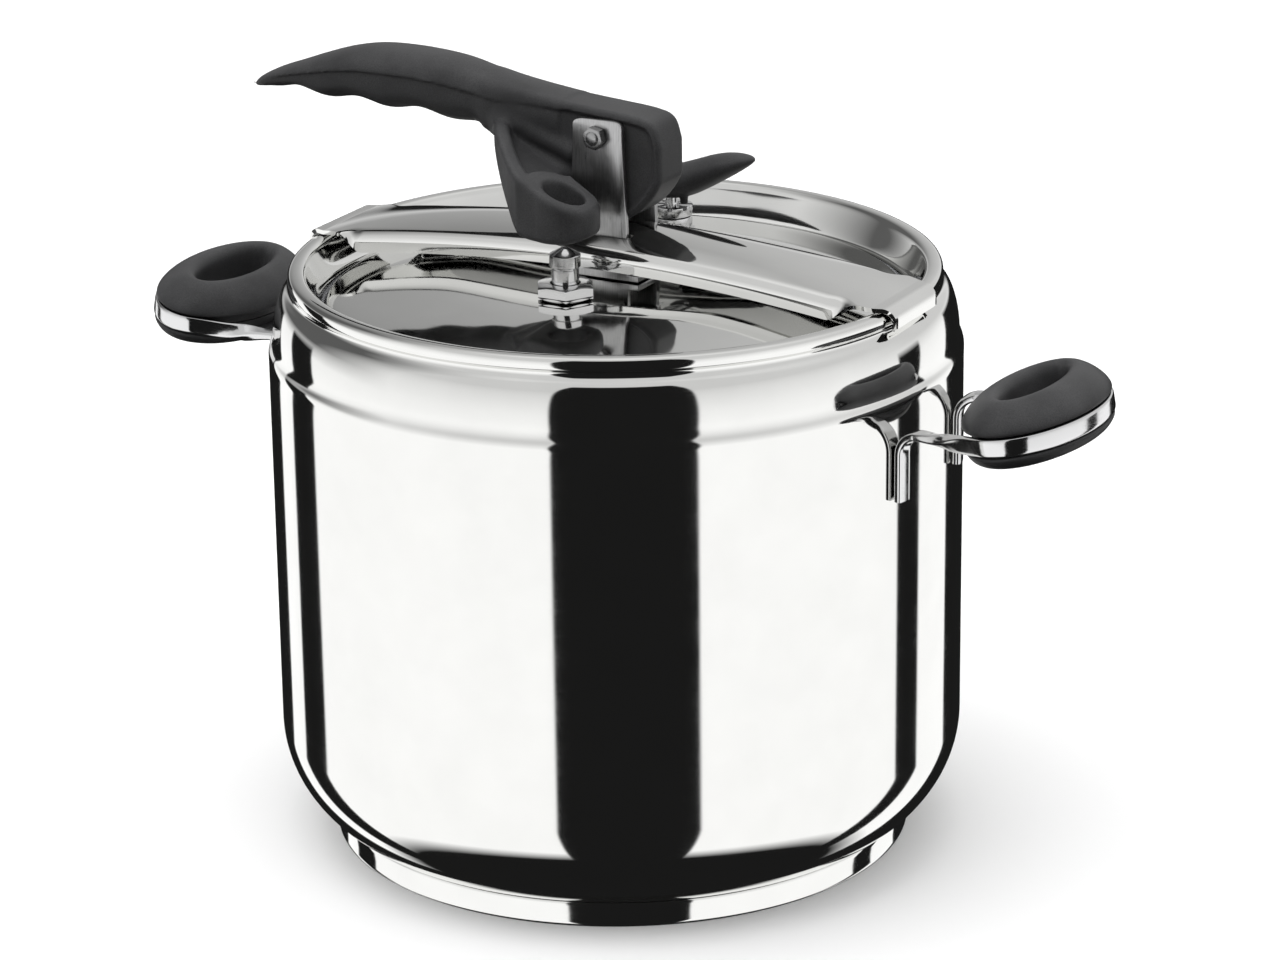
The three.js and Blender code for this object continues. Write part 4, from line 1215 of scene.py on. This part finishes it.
# %% Safety valve body and pin
body_low, body_high = corners("safety_valve_body")
SAFETY_BORE = 4.8
flange = hexagonal("safety_valve_hexagon", 17, LID_TOP + 0.35, LID_TOP + 1.35, SAFETY_BORE, both=True)
upper = hexagonal("upper_hexagon", 17, LID_TOP + 1.45, body_high.z, SAFETY_BORE)
tail_outline = eased([(SAFETY_BORE, body_low.z), (5.9, body_low.z), (6.3, body_low.z + 0.5),
                      (6.3, LID_TOP + 3), (SAFETY_BORE, LID_TOP + 3), (SAFETY_BORE, body_low.z)], 0.3, 3)
for part in (upper, turned("tail", tail_outline, safety_steel, 96)):
    cut(flange, part, "UNION")
fitted(moved(flange, y=SAFETY_Y), safety_steel, "safety_valve_body")

pin_low, pin_high = corners("safety_valve_pin")
foot, top = pin_low.z, pin_high.z
pin = turned("slotted_safety_pin", [
    (0, foot), (5.6, foot), (6.2, foot + 0.5), (6.2, foot + 2), (4.3, foot + 2.2), (4.3, top - 6.7),
    (4.0, top - 6.5), (4.0, top - 6.1), (4.75, top - 5.9), (4.9, top - 5.7), (4.9, top - 2.2),
    (4.7, top - 1.9), (1.6, top - 0.2), (1.2, top), (0, top)], safety_steel, 96)
SLOT_TURN = math.radians(-28)
slot_outline = [(-0.8, top - 2.6), (0.8, top - 2.6), (0.8, top + 1), (-0.8, top + 1)]
slot_cutter = slab("slot", slot_outline, -6, 6, 0.05)
slot_cutter.data.transform(Matrix.Rotation(SLOT_TURN, 4, "Z"))
cut(pin, slot_cutter)
fitted(moved(pin, y=SAFETY_Y), safety_steel, "safety_valve_pin")


# %% [markdown]
# ## The steam release valve
#
# A plated body stands on a hexagon, and its collar carries a crown of teeth that the thumb
# lever's foot rests on. The crown is cut by bars laid across it at even angles, and a Geometry
# Nodes tree makes that star of bars from one bar: as many copies as there are pairs of notches.

# %% Valve body and stem
vent_low, vent_high = corners("vent_valve_body")
VENT_BORE = 1.6
body = hexagonal("steam_valve_hexagon", 15, LID_TOP + 0.35, LID_TOP + 4.3, VENT_BORE, both=True)
barrel_outline = tube_profile(4.7, 6.6, LID_TOP + 3, vent_high.z, 0.3)
tail_outline = eased([(VENT_BORE, vent_low.z), (4.6, vent_low.z), (5, vent_low.z + 0.5), (5, LID_TOP + 2),
                      (VENT_BORE, LID_TOP + 2), (VENT_BORE, vent_low.z)], 0.3, 3)
for name, outline in (("barrel", barrel_outline), ("tail", tail_outline)):
    cut(body, turned(name, outline, vent_steel, 96), "UNION")
fitted(moved(body, y=VENT_Y), vent_steel, "vent_valve_body")

stem_low, stem_high = corners("vent_stem")
foot, top = stem_low.z, stem_high.z
stem = turned("steam_valve_stem", eased([(0, foot), (3.2, foot), (4, foot + 0.6), (4, foot + 1.2),
                                         (1.9, foot + 1.4), (1.9, top - 0.6), (1.2, top), (0, top)], 0.3, 3),
              vent_steel, 64)
fitted(moved(stem, y=VENT_Y), vent_steel, "vent_stem")

rod_outline = eased([(0, -6), (0.8, -6), (1, -5.8), (1, 5.8), (0.8, 6), (0, 6)], 0.1, 3)
rod = turned("steam_lever_pin", rod_outline, plated_steel, 32)
fitted(moved(rod, y=VENT_Y, z=middle("vent_pivot_pin").z, along_y=True), plated_steel, "vent_pivot_pin")


# %% Crown of teeth
def star_tree():
    """Copies of a bar about the Z axis at even angles."""
    tree = start_nodes("star of bars", "Star", Bar="Geometry", Bars="Int", Turned="Float", Finish="Material")
    bar = add(tree, "NodeGroupInput")
    given = bar.node.outputs
    points = add(tree, "GeometryNodeMeshLine", {"Count": given["Bars"], "Offset": (0, 0, 0)})
    index = add(tree, "GeometryNodeInputIndex")
    step = add(tree, "ShaderNodeMath", {0: math.pi, 1: given["Bars"]}, operation="DIVIDE")
    angle = add(tree, "ShaderNodeMath", {0: index, 1: step, 2: given["Turned"]}, operation="MULTIPLY_ADD")
    turn = add(tree, "ShaderNodeCombineXYZ", {"Z": angle})
    copies = add(tree, "GeometryNodeInstanceOnPoints", {"Points": points, "Instance": bar, "Rotation": turn})
    copies = add(tree, "GeometryNodeRealizeInstances", {"Geometry": copies})
    copies = add(tree, "GeometryNodeSetMaterial", {"Geometry": copies, "Material": given["Finish"]})
    add(tree, "NodeGroupOutput", {"Star": copies})
    return tree


collar_low, collar_high = corners("vent_collar")
foot, top = collar_low.z, collar_high.z
COLLAR_R = (collar_high.x - collar_low.x) / 2
collar = turned("toothed_collar", tube_profile(2.4, COLLAR_R, foot, top, 0.35, 4), vent_steel, 96)
bar = slab("bars", [(-9, top - 1), (9, top - 1), (9, top + 1), (-9, top + 1)], -0.8, 0.8, 0.05)
applied(nodes_modifier(bar, star_tree(), Bars=4, Turned=math.pi / 8, Finish=vent_steel))
cut(collar, bar)
fitted(moved(collar, y=VENT_Y), vent_steel, "vent_collar")


# %% [markdown]
# ### The thumb lever
#
# A leaf-shaped moulding of the same phenolic resin, thick over the valve and thin at its tip.
# It is made as the big lever is, as a distance: one long flattened oval, a foot under it, and
# a pocket for the top of the stem.

# %% Thumb lever
LEAF_STATIONS = [
    # x, middle above the pin, half width, half height
    (-7.4, 1.4, 0.6, 0.4), (-7, 1.6, 3.4, 2.2), (-5, 2.0, 5.6, 3.8), (-1, 2.9, 6.8, 5.2), (4, 4.0, 7.4, 5.7),
    (9, 5.7, 7.6, 5.7), (14, 7.9, 7.4, 5.3), (19, 10.0, 6.8, 4.5), (24, 11.8, 5.4, 3.2), (28, 13.0, 3.2, 1.7),
    (29.8, 13.4, 1.2, 0.5), (30.2, 13.5, 0.4, 0.2),
]


def leaf_form(x, y, z):
    """The thumb lever as one distance."""
    pin_z = middle("vent_pivot_pin").z
    line = spline(LEAF_STATIONS, 10)
    place, half_w, half_h = [np.interp(x, line[:, 0], line[:, i]) for i in (1, 2, 3)]
    size = np.hypot((y - VENT_Y) / half_w, (z - pin_z - place) / half_h)
    leaf = (size - 1) * np.minimum(half_w, half_h)
    leaf = np.maximum(leaf, np.maximum(-7.3 - x, x - 30.1))
    foot_low = corners("vent_lever")[0].z
    foot = shared(np.hypot(x - 4.5, y - VENT_Y) - 1.3, np.abs(z - foot_low - 2.6) - 2.6, 0.2)
    leaf = joined(leaf, foot, 0.8)
    pocket = np.maximum(np.abs(x + 0.1) - 3.2, np.maximum(np.abs(y - VENT_Y) - 2.3, z - pin_z - 4.4))
    return taken_out(leaf, pocket, 0.3)


LEAF_STEP = 0.45
leaf_low, leaf_high = corners("vent_lever")
margin = Vector((1.5, 1.5, 1.5))
(gx, gy, gz), leaf_origin = space(leaf_low - margin, leaf_high + margin, LEAF_STEP)
leaf = skin("steam_thumb_lever", leaf_form(gx, gy, gz), leaf_origin, LEAF_STEP)
fitted(leaf, phenolic, "vent_lever", sharp=60)


# %% [markdown]
# ## The studio
#
# Polished steel needs something to reflect, so it is set between large white screens with dark
# gaps between them: each gap becomes one crisp dark band down the side of the pot. Here the
# world is that set of screens. It is white, with dark panels given by their bearing from the
# camera and by their height. That is only what the steel mirrors: matt surfaces are lit by a
# soft dome, brightest overhead, so that their tops are paler than their sides. The floor is
# plain and pale. It is hidden from mirrors, so that the screens are seen in the steel right down
# to the base, and from the matt surfaces, which it would light from below.

# %% Camera
CAMERA_AT = Vector((662.7, -1195.5, 586.9)) * MM
AIM_AT = Vector((6.1, 3.3, 114.2)) * MM
ROLL = math.radians(-0.73)
camera_data = bpy.data.cameras.new("camera")
camera_data.lens = 126.9
camera_data.sensor_width = 36
camera_data.clip_end = 50
camera = bpy.data.objects.new("camera", camera_data)
look = (AIM_AT - CAMERA_AT).to_track_quat("-Z", "Y").to_matrix().to_4x4()
camera.matrix_world = Matrix.Translation(CAMERA_AT) @ look @ Matrix.Rotation(ROLL, 4, "Z")
bpy.context.scene.collection.objects.link(camera)
bpy.context.scene.camera = camera
print("camera distance", round((AIM_AT - CAMERA_AT).length, 3))

# %% Screens
DARK_PANELS = [
    # bearing from, bearing to, height from, height to, all in degrees
    (-22, 26, -60, 60),
    (-135, -119, -60, 2),
    (-212, -148, -60, 2),
    (105, 118, -60, 2),
    (140, 212, -60, 2),
]


def window(tree, value, low, high, soft):
    """One between low and high, falling to nought over a soft edge."""
    rise = add(tree, "ShaderNodeMapRange", {"Value": value, "From Min": low - soft, "From Max": low + soft})
    fall = add(tree, "ShaderNodeMapRange", {"Value": value, "From Min": high + soft, "From Max": high - soft})
    return add(tree, "ShaderNodeMath", {0: rise, 1: fall}, operation="MULTIPLY")


def studio_world():
    """The white screens and the dark gaps between them."""
    world = bpy.data.worlds.new("white screens")
    world.use_nodes = True
    tree = world.node_tree
    tree.nodes.clear()
    facing = math.atan2(CAMERA_AT.y, CAMERA_AT.x)
    ray = add(tree, "ShaderNodeTexCoord", out="Generated")
    ray = add(tree, "ShaderNodeVectorRotate", {"Vector": ray, "Angle": -facing}, rotation_type="Z_AXIS")
    parts = add(tree, "ShaderNodeSeparateXYZ", {0: ray}).node.outputs
    bearing = add(tree, "ShaderNodeMath", {0: parts["Y"], 1: parts["X"]}, operation="ARCTAN2")
    bearing = add(tree, "ShaderNodeMath", {0: bearing}, operation="DEGREES")
    height = add(tree, "ShaderNodeMath", {0: parts["Z"]}, operation="ARCSINE")
    height = add(tree, "ShaderNodeMath", {0: height}, operation="DEGREES")
    dark = add(tree, "ShaderNodeMapRange", {"Value": height, "From Min": -46.0, "From Max": -54.0})
    for left, right, low, high in DARK_PANELS:
        panel = add(tree, "ShaderNodeMath", {0: window(tree, bearing, left, right, 0.5),
                                             1: window(tree, height, low, high, 2.5)}, operation="MULTIPLY")
        dark = add(tree, "ShaderNodeMath", {0: dark, 1: panel}, operation="MAXIMUM")
    front = add(tree, "ShaderNodeMapRange", {"Value": height, "From Min": -14.0, "From Max": 34.0,
                                             "To Min": 1.18, "To Max": 0.72})
    rear = add(tree, "ShaderNodeMapRange", {"Value": parts["Y"], "From Min": -0.5, "From Max": 0.35,
                                            "To Min": 0.12, "To Max": 0.72})
    lofty = add(tree, "ShaderNodeMapRange", {"Value": height, "From Min": 42.0, "From Max": 72.0})
    rear = add(tree, "ShaderNodeMix", {"Factor": lofty, 2: rear, 3: 0.9}, data_type="FLOAT")
    behind = add(tree, "ShaderNodeMath", {0: bearing}, operation="ABSOLUTE")
    behind = add(tree, "ShaderNodeMapRange", {"Value": behind, "From Min": 80.0, "From Max": 120.0})
    raised = add(tree, "ShaderNodeMapRange", {"Value": height, "From Min": -4.0, "From Max": 10.0})
    behind = add(tree, "ShaderNodeMath", {0: behind, 1: raised}, operation="MULTIPLY")
    screens = add(tree, "ShaderNodeMix", {"Factor": behind, 2: front, 3: rear}, data_type="FLOAT")
    mirrored = add(tree, "ShaderNodeMix", {"Factor": dark, 2: screens, 3: 0.012}, data_type="FLOAT")
    soft = add(tree, "ShaderNodeMapRange", {"Value": height, "From Min": 18.0, "From Max": 70.0,
                                            "To Min": 0.05, "To Max": 2.4})
    matt = add(tree, "ShaderNodeLightPath", out="Is Diffuse Ray")
    level = add(tree, "ShaderNodeMix", {"Factor": matt, 2: mirrored, 3: soft}, data_type="FLOAT")
    light = add(tree, "ShaderNodeBackground", {"Color": linear("#FFFFFF"), "Strength": level})
    add(tree, "ShaderNodeOutputWorld", {"Surface": light})
    bpy.context.scene.world = world


studio_world()
bpy.context.scene.view_settings.view_transform = "Standard"
print("dark panels:", len(DARK_PANELS))


# %% Floor and key light
FLOOR_HALF = 6000
MOTTLE_SIZE = 333
floor_corners = [(x * FLOOR_HALF, y * FLOOR_HALF, 0) for x, y in ((-1, -1), (1, -1), (1, 1), (-1, 1))]
floor = from_points("floor", floor_corners, [(0, 1, 2, 3)])
floor_paint, tree = start_material("matt white floor")
place = add(tree, "ShaderNodeTexCoord", out="Object")
mottle = add(tree, "ShaderNodeTexNoise", {"Vector": place, "Scale": 1 / (MOTTLE_SIZE * MM), "Detail": 3.0})
shade = add(tree, "ShaderNodeMix", {"Factor": mottle, 6: linear("#F4F4F4"), 7: linear("#FAFAFA")},
            out=2, data_type="RGBA")
paint = add(tree, "ShaderNodeBsdfPrincipled", {"Base Color": shade, "Roughness": 0.9,
                                               "Specular IOR Level": 0.1})
add(tree, "ShaderNodeOutputMaterial", {"Surface": paint})
floor.data.materials.append(floor_paint)
floor.visible_glossy = False
floor.visible_diffuse = False

key_data = bpy.data.lights.new("key", "AREA")
key_data.shape = "RECTANGLE"
key_data.size = 2.4
key_data.size_y = 1.6
key_data.energy = 12
key = bpy.data.objects.new("key", key_data)
KEY_AT = Vector((-1.0, -0.9, 1.9))
key.matrix_world = Matrix.Translation(KEY_AT) @ (-KEY_AT).to_track_quat("-Z", "Y").to_matrix().to_4x4()
key.visible_glossy = False
bpy.context.scene.collection.objects.link(key)
print("key light size", key_data.size, "by", round(key_data.size_y, 1))


# %% [markdown]
# ## Finishing
#
# The last line prints how many pieces were made.

# %% Count of pieces
print("pieces made:", len(pieces))
